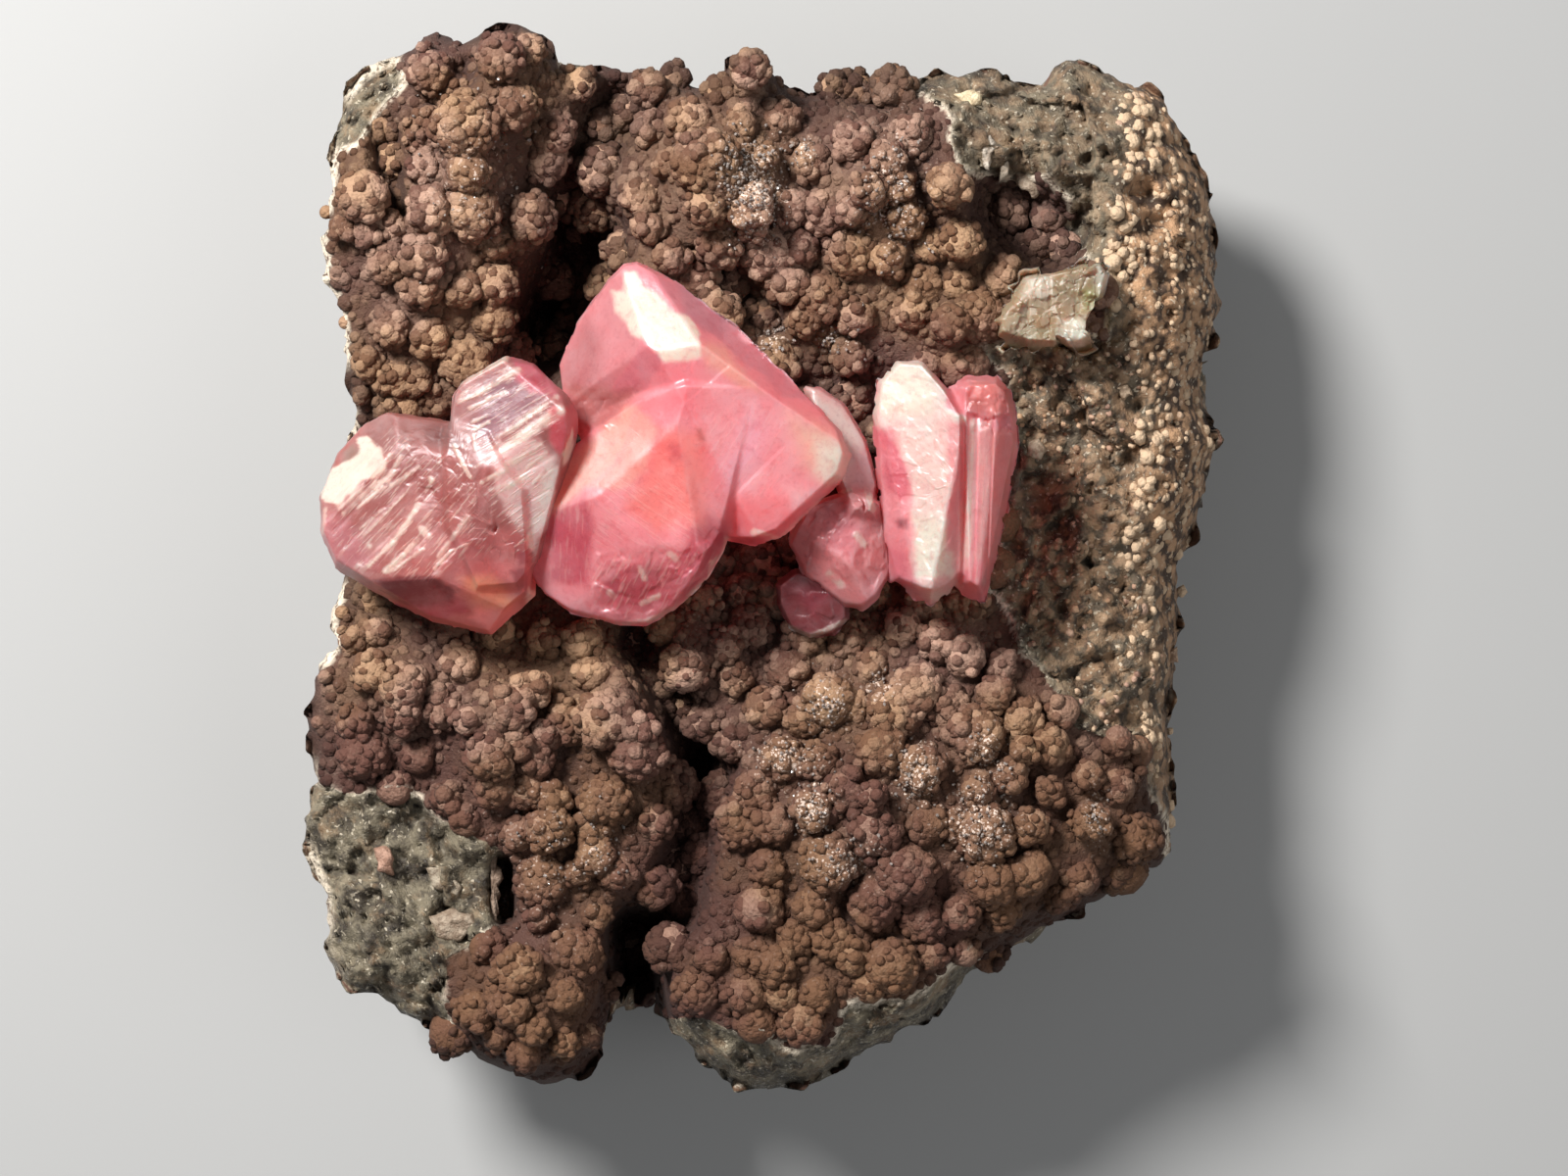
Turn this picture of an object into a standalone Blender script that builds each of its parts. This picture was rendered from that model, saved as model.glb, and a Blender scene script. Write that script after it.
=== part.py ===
"""Rhodochrosite specimen: pink crystals grown on a block of dark rock under a brown botryoidal crust.

Blender 4.5 script. Run with: blender --background --python part.py
The scene is in metres, +Z up. The shapes are worked out in millimetres and scaled once, when a mesh is made.
The specimen lies on the flat underside of its matrix. The origin is under the middle of the whole specimen.

Plan positions are given at the level of the crust (CRUST_LEVEL), from a point near the middle of the top. The
block and everything on it widen downwards from that level by FLARE, so a plan position moves outwards with depth.
"""
import math

import bmesh
import bpy
import numpy as np
from mathutils import Vector

MM = 0.001

# Driving dimensions, millimetres
CRUST_LEVEL = 22.0        # height of the crust's highest lumps above the underside
GROUND_LEVEL = 17.5       # mean height of the top surface between the mounds
LOWEST_GROUND = 2.5       # floor of the deepest furrow
FLARE = 1 / 149.0         # share by which the block widens for each millimetre of depth
FLARE_AXIS = (1.25, -1.55)
MIDDLE = (0.32, -0.21)    # place in plan under which the origin lies
CRYSTAL_BED = 14.4        # flat bottom of the crystals, a little under the crust that holds them
PALE_BED = 16.0           # the same for the pale crystal, which stands higher
FIT_GAP = 0.3             # clearance between a crystal and whatever touches it
FOOT_HEIGHT = 1.3         # where the broken walls turn under towards the flat underside
FOOT_INSET = 1.6          # how far the flat underside lies in from the foot of the walls
FOOT_SWAY = 0.6           # share by which that inset varies
FLAT_WITHIN = 0.12        # what comes this near to the underside after thinning is set flat

# Size of the worked mesh
TOP_COLUMNS = 118
TOP_ROWS = 136
WALL_ROWS = 11
RELAX_STEPS = 150
MATRIX_TRIANGLES = 7000

# Outline of the block in plan, anticlockwise from its lower-left corner
LOWER_EDGE = [
    (-21.5, -21.15), (-20.7, -22.05), (-19.3, -22.45), (-18.15, -23.35), (-16.1, -24.1), (-14.8, -25.25),
    (-12.9, -26.15), (-11, -26.85), (-8.95, -26.25),
    (-7.7, -24.1), (-7.05, -22.65), (-5.65, -22.45), (-4.75, -23.55), (-3.9, -24.85), (-1.6, -26.55),
    (-0.1, -27.05), (2.75, -26.65), (4.75, -25.5),
    (8.2, -23.85), (9.75, -22.55), (11.35, -20.7), (14.4, -18.9), (17.2, -17.6), (19, -16.35)]
RIGHT_EDGE = [
    (20.9, -15.3), (21.15, -13.8), (20.95, -9.85), (20.9, -7.3), (21.4, -4.1), (21.45, -0.55),
    (22.05, 0.95), (22.65, 3.2), (22.85, 4.7),
    (23.3, 5.85), (22.6, 7.95), (22.8, 9.55), (23.45, 12.75), (23.35, 14.4), (22.9, 18.5), (22.2, 20.15)]
UPPER_EDGE = [
    (20.9, 22.85), (20, 23.85), (17.45, 24.8), (15.55, 25.4), (14.55, 24.25), (13.4, 24.05), (11.6, 24.75),
    (9.2, 24.7), (7.85, 24),
    (6.05, 23.35), (4.65, 23.75), (3.7, 24.2), (2.75, 23.55), (1.3, 24.05), (0.55, 25.15), (-0.45, 25.95),
    (-1.35, 25.35), (-2.1, 24.3), (-3.25, 24),
    (-5.55, 24.8), (-8.05, 24.95), (-9.25, 24.5), (-10.4, 25.45), (-11.15, 26.5), (-13.15, 26.9),
    (-14.85, 26.4), (-16.1, 26.55), (-17.05, 26.75), (-17.65, 25.85),
    (-18.9, 25.4), (-20.2, 24.75)]
LEFT_EDGE = [
    (-21.15, 23.55), (-21.6, 21.2), (-22.05, 18.45), (-22.35, 16.2), (-22.05, 14.05), (-21.35, 12.5),
    (-21.2, 10.6), (-20.85, 7.95), (-20.75, 4.95),
    (-20.95, 0.45), (-21.35, -1.55), (-21.95, -3.2), (-21.7, -4.5), (-22.6, -5.9), (-22.9, -8.55),
    (-22.75, -11.75), (-23.3, -14.3), (-22.2, -17.2),
    (-22.1, -19.75)]

# How the top falls away inside the outline: bearing in degrees, width and depth of the fall
EDGE_FALL = [
    (0, 6.0, 8.5), (40, 5.0, 7.0), (62, 3.5, 4.5), (90, 2.2, 3.0), (120, 1.6, 2.5), (150, 0.9, 1.5),
    (190, 0.9, 1.5), (215, 1.6, 2.5), (240, 2.6, 5.0), (270, 2.4, 5.5), (300, 3.0, 6.0), (325, 3.6, 6.0),
    (345, 4.6, 7.5)]

# Mounds of the crust: place, reach along X and Y, rise
MOUNDS = [
    ((-14.85, 20.95), 2.1, 3.75, 2.8),  # upper left mass
    ((-16.75, 15.2), 2.5, 3.1, 1.8),
    ((-20.25, 18.45), 1.3, 2.75, 1.2),
    ((-12.75, 24.85), 1.7, 2, 2.2),
    ((-11.5, 16.7), 1.1, 1.4, 2.6),  # lump at the brink of the deep hollow
    ((-8, 20.2), 1.5, 2, 1.2),
    ((-2, 19.2), 2.2, 2.6, 3.6),  # dome
    ((-0.5, 24.7), 0.8, 0.9, 1.8),
    ((5.5, 18.7), 2.3, 3.3, 2.4),  # cluster right of the dome
    ((9.65, 18.85), 1, 1, 3.0),  # flat-topped finger and the one below it
    ((10.5, 16.3), 1, 1.3, 1.8),
    ((9.5, 11.7), 1.9, 1.6, 1.4),
    ((-18.25, -6.8), 3, 2.75, 2.0),  # lower left mass
    ((-13.5, -8.8), 1.8, 3.1, 2.2),
    ((-6.75, -8.3), 2, 2.6, 3.2),
    ((-11.5, -22.05), 2.8, 2.5, 2.2),  # lobe left of the notch
    ((-3.75, -4.05), 2, 2.1, 2.0),  # wedge
    ((7.25, -12.55), 8.5, 7, 2.8),  # broad field of lumps
    ((1.25, -21.55), 4.5, 2, 0.8)]

# Furrows and hollows: two ends of the line, half width, depth
FURROWS = [
    ((-9.15, 15.95), (-10.45, 11.95), 2.1, 9.0),  # deep hollow
    ((-10.65, 12.2), (-12, 9.2), 1.3, 5.0),
    ((-7.5, 22.55), (-9.85, 18.2), 1.8, 5.0),
    ((-19.15, 21.7), (-18.65, 17.7), 0.65, 3.0),
    ((-14.75, 24.95), (-16.25, 23.45), 0.7, 2.5),
    ((-6, -4.3), (-2.85, -10.55), 1, 5.0),  # valley below the wedge
    ((-2.65, -10.55), (-4.25, -17.8), 1.2, 5.0),
    ((-6.25, -19.05), (-6.35, -25.3), 1.2, 14.0), # notch in the lower edge
    ((13, 17.7), (15, 16.2), 1.9, 6.0), # cavity in the dark rock
    ((20.75, 17.7), (19.5, 18.2), 1, 3.0),
    ((-13.1, -15.8), (-13, -18.05), 0.55, 4.5),
    ((-20, 3.45), (11.25, 3.45), 6, 2.4)] # trough that the crystals grow in

# Bare host rock, where the crust has broken away
HOST_LOWER_LEFT = [
    (-23.75, -11.05), (-21.45, -11.6), (-19.3, -11.5), (-17.4, -12.15), (-15.85, -13.65), (-14.05, -14.45),
    (-13.15, -15.3), (-13.7, -18.75), (-16.05, -20.5), (-15.6, -23.05),
    (-16, -25.05), (-23.75, -24.05)]
HOST_RIGHT = [
    (11.75, 10.95), (18.75, 11.45), (24.25, 13.45), (24.25, -15.55), (20.75, -15.55), (19.5, -9.55),
    (16.5, -8.8), (13.25, -4.05), (11.75, -1.55),
    (13.25, 5.45)]
HOST_UPPER_RIGHT = [
    (8.75, 25.45), (9, 21.95), (11.25, 19.45), (15.75, 20.95), (17.75, 16.45), (18, 10.95), (24.25, 11.45),
    (24.25, 26.45)]
HOST_PATCHES = [HOST_LOWER_LEFT, HOST_RIGHT, HOST_UPPER_RIGHT]

# Single lumps of the crust that stand out: place, radius, height of the centre over the ground
LUMPS = [
    ((-20.25, 18.45), 1.3, 0.5), ((-19, 24.7), 1, 0.2), ((-17.05, 25.85), 0.75, 0.6),
    ((-16.75, 24.7), 1.1, 0.4), ((-13.25, 25.45), 1.2, 0.6),
    ((-11.75, 25.95), 0.8, 0.6), ((-12.6, 23.05), 1.3, 0.3), ((-15, 21.95), 1.7, 0.2),
    ((-17.15, 19.85), 0.8, 0.3),
    ((-14.85, 19.7), 1.1, 0.3), ((-16.75, 17.7), 1.2, 0.4), ((-14.65, 17.55), 1.4, 0.4),
    ((-17.15, 15.35), 1.1, 0.3),
    ((-21.15, 16.85), 0.7, 0.3), ((-20, 16.7), 0.7, 0.3), ((-18.75, 16.85), 0.75, 0.3),
    ((-19, 14.95), 1, 0.3),
    ((-11.5, 17.35), 1.2, 0.5), ((-13.5, 13.95), 1.1, 0.4), ((-20, 9.95), 0.85, 0.3),
    ((-18.75, 9.2), 0.95, 0.3),
    ((-17.45, 9.05), 0.8, 0.3), ((-16.75, 11.2), 1, 0.2), ((-6.75, 22.7), 1, 0.4),
    ((-5.65, 23.95), 0.9, 0.4),
    ((-8, 19.7), 1.3, 0.2), ((-2.75, 20.2), 1.7, 0.0), ((-1, 22.2), 0.75, 0.5), ((0.35, 20.45), 0.65, 0.8),
    ((-0.5, 17.95), 1.2, 0.4), ((-0.35, 16.85), 0.8, 0.5), ((-2.75, 17.85), 1, 0.3),
    ((-0.5, 24.95), 0.95, 0.6),
    ((4.75, 21.2), 1, 0.5), ((6.5, 20.2), 1, 0.5), ((5.5, 18.7), 0.9, 0.6), ((4.65, 17.7), 0.8, 0.5),
    ((7, 18.95), 0.9, 0.5), ((7.5, 17.2), 1, 0.4), ((6.5, 15.2), 0.9, 0.5), ((3.75, 23.95), 0.7, 0.4),
    ((9.65, 18.95), 1.1, 0.5), ((10.25, 16.2), 1.05, 0.5), ((9.75, 11.95), 1, 0.4),
    ((7.75, 12.45), 0.9, 0.3),
    ((3.25, 13.2), 1.3, 0.0), ((4.65, 10.2), 0.9, 0.4), ((-4.5, 15.35), 0.8, 0.4),
    ((-5.6, 16.85), 0.75, 0.5),
    ((-20.15, -10.05), 1.3, 0.4), ((-19.65, -3.8), 0.7, 0.4), ((-21.25, -2.8), 0.7, 0.3),
    ((-18.25, -6.55), 1.2, 0.1),
    ((-11.75, -6.75), 0.95, 0.9), ((-11, -9.05), 0.8, 0.8), ((-11.5, -10.3), 0.9, 0.6),
    ((-14.85, -8.3), 0.75, 0.4),
    ((-12.75, -7.8), 1.2, 0.1), ((-13.75, -10.05), 1.2, 0.1), ((-8, -8.3), 1.4, 0.1),
    ((-6.25, -9.95), 1.4, 0.2),
    ((-6, -8.8), 0.8, 0.4), ((-10.75, -13.8), 1.2, 0.9), ((-10.75, -12.3), 0.9, 0.7),
    ((-7.85, -12.3), 1.25, 0.6),
    ((-8.35, -15.15), 1, 0.6), ((-5.35, -16.8), 1.1, 0.7), ((-9.25, -16.05), 0.7, 0.4),
    ((-8.25, -18.3), 0.7, 0.4),
    ((-12.25, -21.05), 1.25, 0.5), ((-13.85, -19.8), 0.9, 0.3), ((-14.5, -23.05), 1, 0.4),
    ((-12.6, -23.05), 0.85, 0.6),
    ((-11.5, -24.05), 0.8, 0.6), ((-12, -25.3), 0.85, 0.5), ((-10, -24.8), 0.7, 0.5),
    ((-8.75, -24.3), 0.7, 0.4),
    ((-7.85, -22.05), 0.65, 0.5), ((-13.35, -24.55), 0.65, 0.4), ((-11.25, -18.45), 0.65, 0.5),
    ((-2.75, -8.3), 1.1, 0.7),
    ((-3.75, -5.55), 1.3, 0.3), ((-0.5, -3.55), 1.2, 0.2), ((3.5, -7.3), 1.3, 0.5), ((8, -6.8), 1.3, 0.5),
    ((10.5, -5.05), 1, 0.8), ((12.05, -6.9), 0.9, 0.9), ((12.35, -5.55), 0.75, 0.6),
    ((11, -9.05), 1.4, 0.3),
    ((13.5, -9.8), 0.7, 0.8), ((15.5, -7.8), 0.85, 0.7), ((12.75, -11.2), 0.8, 0.6),
    ((14.75, -11.95), 0.75, 0.7),
    ((1.25, -10.3), 1.1, 0.4), ((8.25, -10.8), 1.2, 0.4), ((5.75, -12.15), 0.7, 0.9),
    ((2.75, -12.8), 1, 0.6),
    ((3.5, -15.55), 1.5, 0.4), ((0.75, -13.55), 1, 0.4), ((7.5, -16.05), 1.5, 0.5),
    ((11.5, -14.05), 1.5, 0.4),
    ((13.85, -13.65), 0.9, 0.8), ((16.85, -13.45), 1, 0.9), ((11.75, -16.55), 1.3, 0.4),
    ((13.75, -16.05), 1.1, 0.4),
    ((15.25, -17.3), 0.8, 0.5), ((10.25, -18.05), 0.9, 0.6), ((10.5, -20.05), 0.8, 0.6),
    ((6.75, -20.8), 1.4, 0.4),
    ((0.75, -20.8), 1, 0.4), ((0, -17.8), 1.2, 0.3), ((3.75, -19.55), 1.1, 0.3), ((2.75, -17.8), 1.1, 0.3),
    ((-3, -15.05), 1, 0.3), ((18.25, -9.3), 0.8, 0.4), ((16.75, -11.05), 0.75, 0.5)]

LUMP_SPACING = 2.3        # between the smaller lumps that cover the rest of the crust
LUMP_JITTER = 0.5
LUMP_RADIUS = (0.8, 1.35)
LUMP_LIFT = (-0.1, 0.35)  # height of a small lump's centre over the ground
LUMP_OVERLAP = 0.62       # nearest two lumps come, over the sum of their radii
LUMP_SQUASH = 0.8         # height of a lump over its radius
LUMP_SEED = 7
LATTICE_ROWS = 17         # rows and columns of the lattice on each side of its middle
LATTICE_COLUMNS = 14
CALM_SPAN = 25            # places on the rim over which the walls even out its small steps

# Relief: size of the cells of each noise and its height
SLOW_CELL = 4.5
SLOW_RISE = 0.5
RIDGE_RUN = (0.75, 0.66)  # direction across the ridges of the bare rock
RIDGE_SPACING = 2.3
RIDGE_RISE = 0.8
PIT_CELL = 1.3
PIT_DEPTH = 0.9
GRAIN_CELL = 1.7
GRAIN_RISE = 0.45
WALL_CELLS = (6.5, 2.8)
WALL_RISES = (0.8, 0.55)
LEDGE_SPACING = 5.2
LEDGE_DEPTH = 0.9
LIP = 1.1                 # how far the crust stands out over the broken wall under it
LIP_SPAN = 0.33           # share of the wall's height over which the lip draws in
CALM_REACH = 0.4          # share of the wall's height over which the rim evens out
WALL_TAPER = 1.3


def hashed(i, j, k, seed):
    """Repeatable value from 0 to 1 for a whole-number place: its coordinates times large primes, bits mixed."""
    mixed = (i * 73856093) ^ (j * 19349663) ^ (k * 83492791) ^ (seed * 2654435761)
    mixed = ((mixed ^ (mixed >> 15)) * 2246822519) & 0xFFFFFFFF
    return ((mixed ^ (mixed >> 13)) & 0xFFFF) / 0xFFFF


def noise(x, y, z, cell, seed):
    """Smooth value from -1 to 1: hashed values on a cubic lattice of the given cell, eased between places."""
    scaled = [np.asarray(axis, dtype=float) / cell for axis in (x, y, z)]
    whole = [np.floor(axis).astype(np.int64) for axis in scaled]
    part = [axis - start for axis, start in zip(scaled, whole)]
    ease = [axis * axis * (3 - 2 * axis) for axis in part]
    total = 0.0
    for corner in range(8):
        step = [(corner >> axis) & 1 for axis in range(3)]
        weight = 1.0
        for axis in range(3):
            weight = weight * (ease[axis] if step[axis] else 1 - ease[axis])
        total = total + weight * hashed(*[whole[axis] + step[axis] for axis in range(3)], seed)
    return 2 * total - 1


def placed(points):
    """Plan positions with heights turned into real positions: widened by FLARE, and moved over the origin."""
    points = np.array(points, dtype=float)
    axis = np.array(FLARE_AXIS)
    share = 1 + (CRUST_LEVEL - points[..., 2:3]) * FLARE
    points[..., :2] = axis + (points[..., :2] - axis) * share - MIDDLE
    return points


def smooth_run(points, before, after, steps=12):
    """Catmull-Rom curve through a run of points, with one neighbour beyond each end."""
    knots = np.array([before] + points + [after], dtype=float)
    t = np.linspace(0, 1, steps, endpoint=False)[:, None]
    pieces = []
    for a, b, c, d in zip(knots[:-3], knots[1:-2], knots[2:-1], knots[3:]):
        pieces.append(b + 0.5 * t * (c - a + t * (2 * a - 5 * b + 4 * c - d + t * (3 * (b - c) + d - a))))
    return np.vstack(pieces + [knots[-2:-1]])


def outline_sides():
    """The four smooth sides of the outline; each starts on the first point of its edge list."""
    edges = [LOWER_EDGE, RIGHT_EDGE, UPPER_EDGE, LEFT_EDGE]
    sides = []
    for index, edge in enumerate(edges):
        following = edges[(index + 1) % 4]
        preceding = edges[index - 1]
        sides.append(smooth_run(edge + following[:1], preceding[-1], following[1]))
    return sides


def even(curve, count):
    """The given number of points at even distances along a polyline."""
    lengths = np.concatenate([[0], np.cumsum(np.linalg.norm(np.diff(curve, axis=0), axis=1))])
    places = np.linspace(0, lengths[-1], count)
    return np.stack([np.interp(places, lengths, curve[:, axis]) for axis in range(2)], axis=1)


def plan_grid(columns, rows):
    """Plan positions on a grid that fills the outline: a Coons patch between its four sides, then relaxed."""
    lower, right, upper, left = [even(side, n) for side, n in
                                 zip(outline_sides(), (columns, rows, columns, rows))]
    upper = upper[::-1]
    left = left[::-1]
    s = np.linspace(0, 1, columns)[None, :, None]
    t = np.linspace(0, 1, rows)[:, None, None]
    grid = (1 - t) * lower[None] + t * upper[None] + (1 - s) * left[:, None] + s * right[:, None]
    grid -= ((1 - s) * (1 - t) * lower[0] + s * (1 - t) * lower[-1] + (1 - s) * t * upper[0] + s * t * upper[-1])
    for _ in range(RELAX_STEPS):
        grid[1:-1, 1:-1] = (grid[:-2, 1:-1] + grid[2:, 1:-1] + grid[1:-1, :-2] + grid[1:-1, 2:]) / 4
    return grid


def line_distance(x, y, a, b):
    """Distance in plan from the line between two points."""
    a, b = np.array(a), np.array(b)
    run = b - a
    along = np.clip(((x - a[0]) * run[0] + (y - a[1]) * run[1]) / (run @ run), 0, 1)
    return np.hypot(x - a[0] - along * run[0], y - a[1] - along * run[1])


def edge_distance(x, y):
    """Distance in plan from the outline."""
    loop = np.vstack([side[:-1:3] for side in outline_sides()])
    nearest = np.full(np.shape(x), np.inf)
    for a, b in zip(loop, np.roll(loop, -1, axis=0)):
        nearest = np.minimum(nearest, line_distance(x, y, a, b))
    return nearest


def inside(x, y, polygon):
    """True where a plan position lies inside a polygon: an odd number of its sides cross the ray to +X."""
    odd = np.zeros(np.shape(x), dtype=bool)
    for (ax, ay), (bx, by) in zip(polygon, polygon[1:] + polygon[:1]):
        crosses = (ay > y) != (by > y)
        odd ^= crosses & (x < ax + (y - ay) * (bx - ax) / (by - ay + 1e-12))
    return odd


def host_rock(x, y):
    """True where bare host rock shows."""
    bare = np.zeros(np.shape(x), dtype=bool)
    for patch in HOST_PATCHES:
        bare |= inside(x, y, patch)
    return bare


def fall(x, y):
    """Depth by which the top falls away near the outline: a quarter-round of the width set for the bearing."""
    bearing, width, depth = np.array(EDGE_FALL).T
    angle = np.degrees(np.arctan2(y, x)) % 360
    reach = np.interp(angle, bearing, width, period=360)
    drop = np.interp(angle, bearing, depth, period=360)
    near = np.clip(1 - edge_distance(x, y) / reach, 0, 0.99)
    return drop * (1 - np.sqrt(1 - near ** 2))


def ground(x, y):
    """Height of the top without its lumps: mean level, mounds, furrows, fall to the edges and slow noise."""
    height = GROUND_LEVEL + SLOW_RISE * noise(x, y, 0 * x, SLOW_CELL, 1)
    for (cx, cy), reach_x, reach_y, rise in MOUNDS:
        height += rise * np.exp(-((x - cx) / reach_x) ** 2 - ((y - cy) / reach_y) ** 2)
    for a, b, half_width, depth in FURROWS:
        height -= depth * np.exp(-(line_distance(x, y, a, b) / half_width) ** 4)
    return np.maximum(height - fall(x, y), LOWEST_GROUND)


def lump_list():
    """The single lumps and, on a jittered six-sided lattice over the rest of the crust, the small ones."""
    draw = np.random.default_rng(LUMP_SEED)
    lumps = [(x, y, radius, lift) for (x, y), radius, lift in LUMPS]
    for row in range(-LATTICE_ROWS, LATTICE_ROWS + 1):
        for column in range(-LATTICE_COLUMNS, LATTICE_COLUMNS + 1):
            x = (column + 0.5 * (row % 2)) * LUMP_SPACING + draw.uniform(-LUMP_JITTER, LUMP_JITTER)
            y = row * LUMP_SPACING * math.sqrt(3) / 2 + draw.uniform(-LUMP_JITTER, LUMP_JITTER)
            radius = draw.uniform(*LUMP_RADIUS)
            lift = draw.uniform(*LUMP_LIFT)
            room = min(math.hypot(x - cx, y - cy) - LUMP_OVERLAP * (r + radius) for cx, cy, r, _ in lumps)
            if room > 0 and not host_rock(np.array([x]), np.array([y]))[0]:
                lumps.append((x, y, radius, lift))
    return np.array(lumps)


def broken_rock(x, y):
    """Relief of bare host rock: slanting ridges of triangular section, grain, and pits where noise is high."""
    across = RIDGE_RUN[0] * x + RIDGE_RUN[1] * y + SLOW_RISE * noise(x, y, 0 * x, SLOW_CELL, 5)
    ridge = RIDGE_RISE * (np.abs((across / RIDGE_SPACING) % 1 - 0.5) * 2 - 0.25)
    pits = PIT_DEPTH * np.clip(noise(x, y, 0 * x, PIT_CELL, 6) - 0.2, 0, 1)
    return ridge + GRAIN_RISE * noise(x, y, 0 * x, GRAIN_CELL, 7) - pits


def top_surface(x, y):
    """Height of the finished top: spherical lumps standing in the ground, broken relief on bare rock."""
    base = ground(x, y)
    lumps = lump_list()
    centre = ground(lumps[:, 0], lumps[:, 1]) + lumps[:, 3]
    height = base.copy()
    for (cx, cy, radius, _), level in zip(lumps, centre):
        room = radius ** 2 - (x - cx) ** 2 - (y - cy) ** 2
        cap = level + np.sqrt(np.maximum(room, 0)) * LUMP_SQUASH
        height = np.where(room > 0, np.maximum(height, cap), height)
    return np.where(host_rock(x, y), base + broken_rock(x, y), height)


def calmed(ring):
    """A ring with its small steps evened out: the running mean over CALM_SPAN places."""
    shifts = range(-(CALM_SPAN // 2), CALM_SPAN // 2 + 1)
    return sum(np.roll(ring, shift, axis=0) for shift in shifts) / CALM_SPAN


def wall_ring(rim, share):
    """One ring of the broken side walls: the rim, evened out, lowered by a share and drawn in with noise."""
    blend = min(1.0, share / CALM_REACH)
    ring = rim * (1 - blend) + calmed(rim) * blend
    ring[:, 2] = ring[:, 2] * (1 - share) + FOOT_HEIGHT * share
    x, y, z = ring.T
    rough = sum(rise * noise(x, y, z, cell, 11) for rise, cell in zip(WALL_RISES, WALL_CELLS))
    ledge = LEDGE_DEPTH * ((z / LEDGE_SPACING + 0.5 * noise(x, y, 0 * z, 2 * LEDGE_SPACING, 13)) % 1)
    inset = WALL_TAPER * share ** 2 + (LIP + rough + ledge) * min(1.0, share / LIP_SPAN)
    return drawn_in(ring, inset)


def drawn_in(ring, inset):
    """A ring moved towards the middle of the block by an inset in millimetres."""
    middle = ring[:, :2].mean(axis=0)
    offset = ring[:, :2] - middle
    reach = np.linalg.norm(offset, axis=1, keepdims=True)
    moved = ring.copy()
    moved[:, :2] = middle + offset * (1 - np.reshape(inset, (-1, 1)) / reach)
    return moved


def block_mesh():
    """Closed mesh of the block: top grid, rings of wall that share its border, flat underside."""
    plan = plan_grid(TOP_COLUMNS, TOP_ROWS)
    top = np.dstack([plan, top_surface(plan[..., 0], plan[..., 1])])
    index = np.arange(top.shape[0] * top.shape[1]).reshape(top.shape[:2])
    border = np.concatenate([index[0, :-1], index[:-1, -1], index[-1, :0:-1], index[:0:-1, 0]])
    rim = top.reshape(-1, 3)[border]
    rings = [wall_ring(rim, row / WALL_ROWS) for row in range(1, WALL_ROWS + 1)]
    foot = drawn_in(rings[-1], FOOT_INSET * (1 + FOOT_SWAY * noise(*rings[-1].T, SLOW_CELL, 14)))
    foot[:, 2] = 0
    rings.append(foot)
    middle = np.append(foot[:, :2].mean(axis=0), 0)
    vertices = np.vstack([top.reshape(-1, 3)] + rings + [middle])
    faces = list(zip(index[:-1, :-1].flat, index[:-1, 1:].flat, index[1:, 1:].flat, index[1:, :-1].flat))
    upper = border
    for number in range(len(rings)):
        lower = index.size + number * len(border) + np.arange(len(border))
        faces += list(zip(upper, lower, np.roll(lower, -1), np.roll(upper, -1)))
        upper = lower
    faces += [(a, len(vertices) - 1, b) for a, b in zip(upper, np.roll(upper, -1))]
    return placed(vertices), faces


def material(name, colour, roughness):
    """Principled material in one colour."""
    made = bpy.data.materials.new(name)
    made.use_nodes = True
    shader = made.node_tree.nodes["Principled BSDF"]
    shader.inputs["Base Color"].default_value = (*colour, 1)
    shader.inputs["Roughness"].default_value = roughness
    made.diffuse_color = (*colour, 1)
    return made


def add_object(name, mesh, finish):
    """Put a mesh in the scene under a name, in its material."""
    made = bpy.data.objects.new(name, mesh)
    made.data.materials.append(finish)
    bpy.context.collection.objects.link(made)
    return made


def baked(made):
    """Replace an object's mesh by what its modifiers make of it."""
    graph = bpy.context.evaluated_depsgraph_get()
    mesh = bpy.data.meshes.new_from_object(made.evaluated_get(graph))
    made.modifiers.clear()
    made.data = mesh
    return made


def make_matrix(finish):
    """Block of host rock and crust: the worked mesh thinned to its triangle budget, underside kept flat."""
    vertices, faces = block_mesh()
    mesh = bpy.data.meshes.new("matrix")
    mesh.from_pydata((vertices * MM).tolist(), [], [tuple(int(i) for i in face) for face in faces])
    matrix = add_object("matrix", mesh, finish)
    thin = matrix.modifiers.new("Thin", "DECIMATE")
    thin.ratio = MATRIX_TRIANGLES / sum(len(face) - 2 for face in faces)
    baked(matrix)
    for vertex in matrix.data.vertices:
        if vertex.co.z < FLAT_WITHIN * MM:
            vertex.co.z = 0
    return matrix


# Crystals. Each is the solid left when a block is cut by flat faces. Its girdle is its widest outline in
# plan, with heights. Above the girdle steep crown faces lean in, below it the sides run under, and the
# tables are the broad top faces, each given by three points.
# Grooves are long wedges cut from a table: the table's number, two ends of the steep side, width, depth.
CROWN_SLOPE = math.radians(78)
UNDERCUT = math.radians(12)
SHORTEST_EDGE = 0.02      # corners nearer to each other than this are one corner

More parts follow.
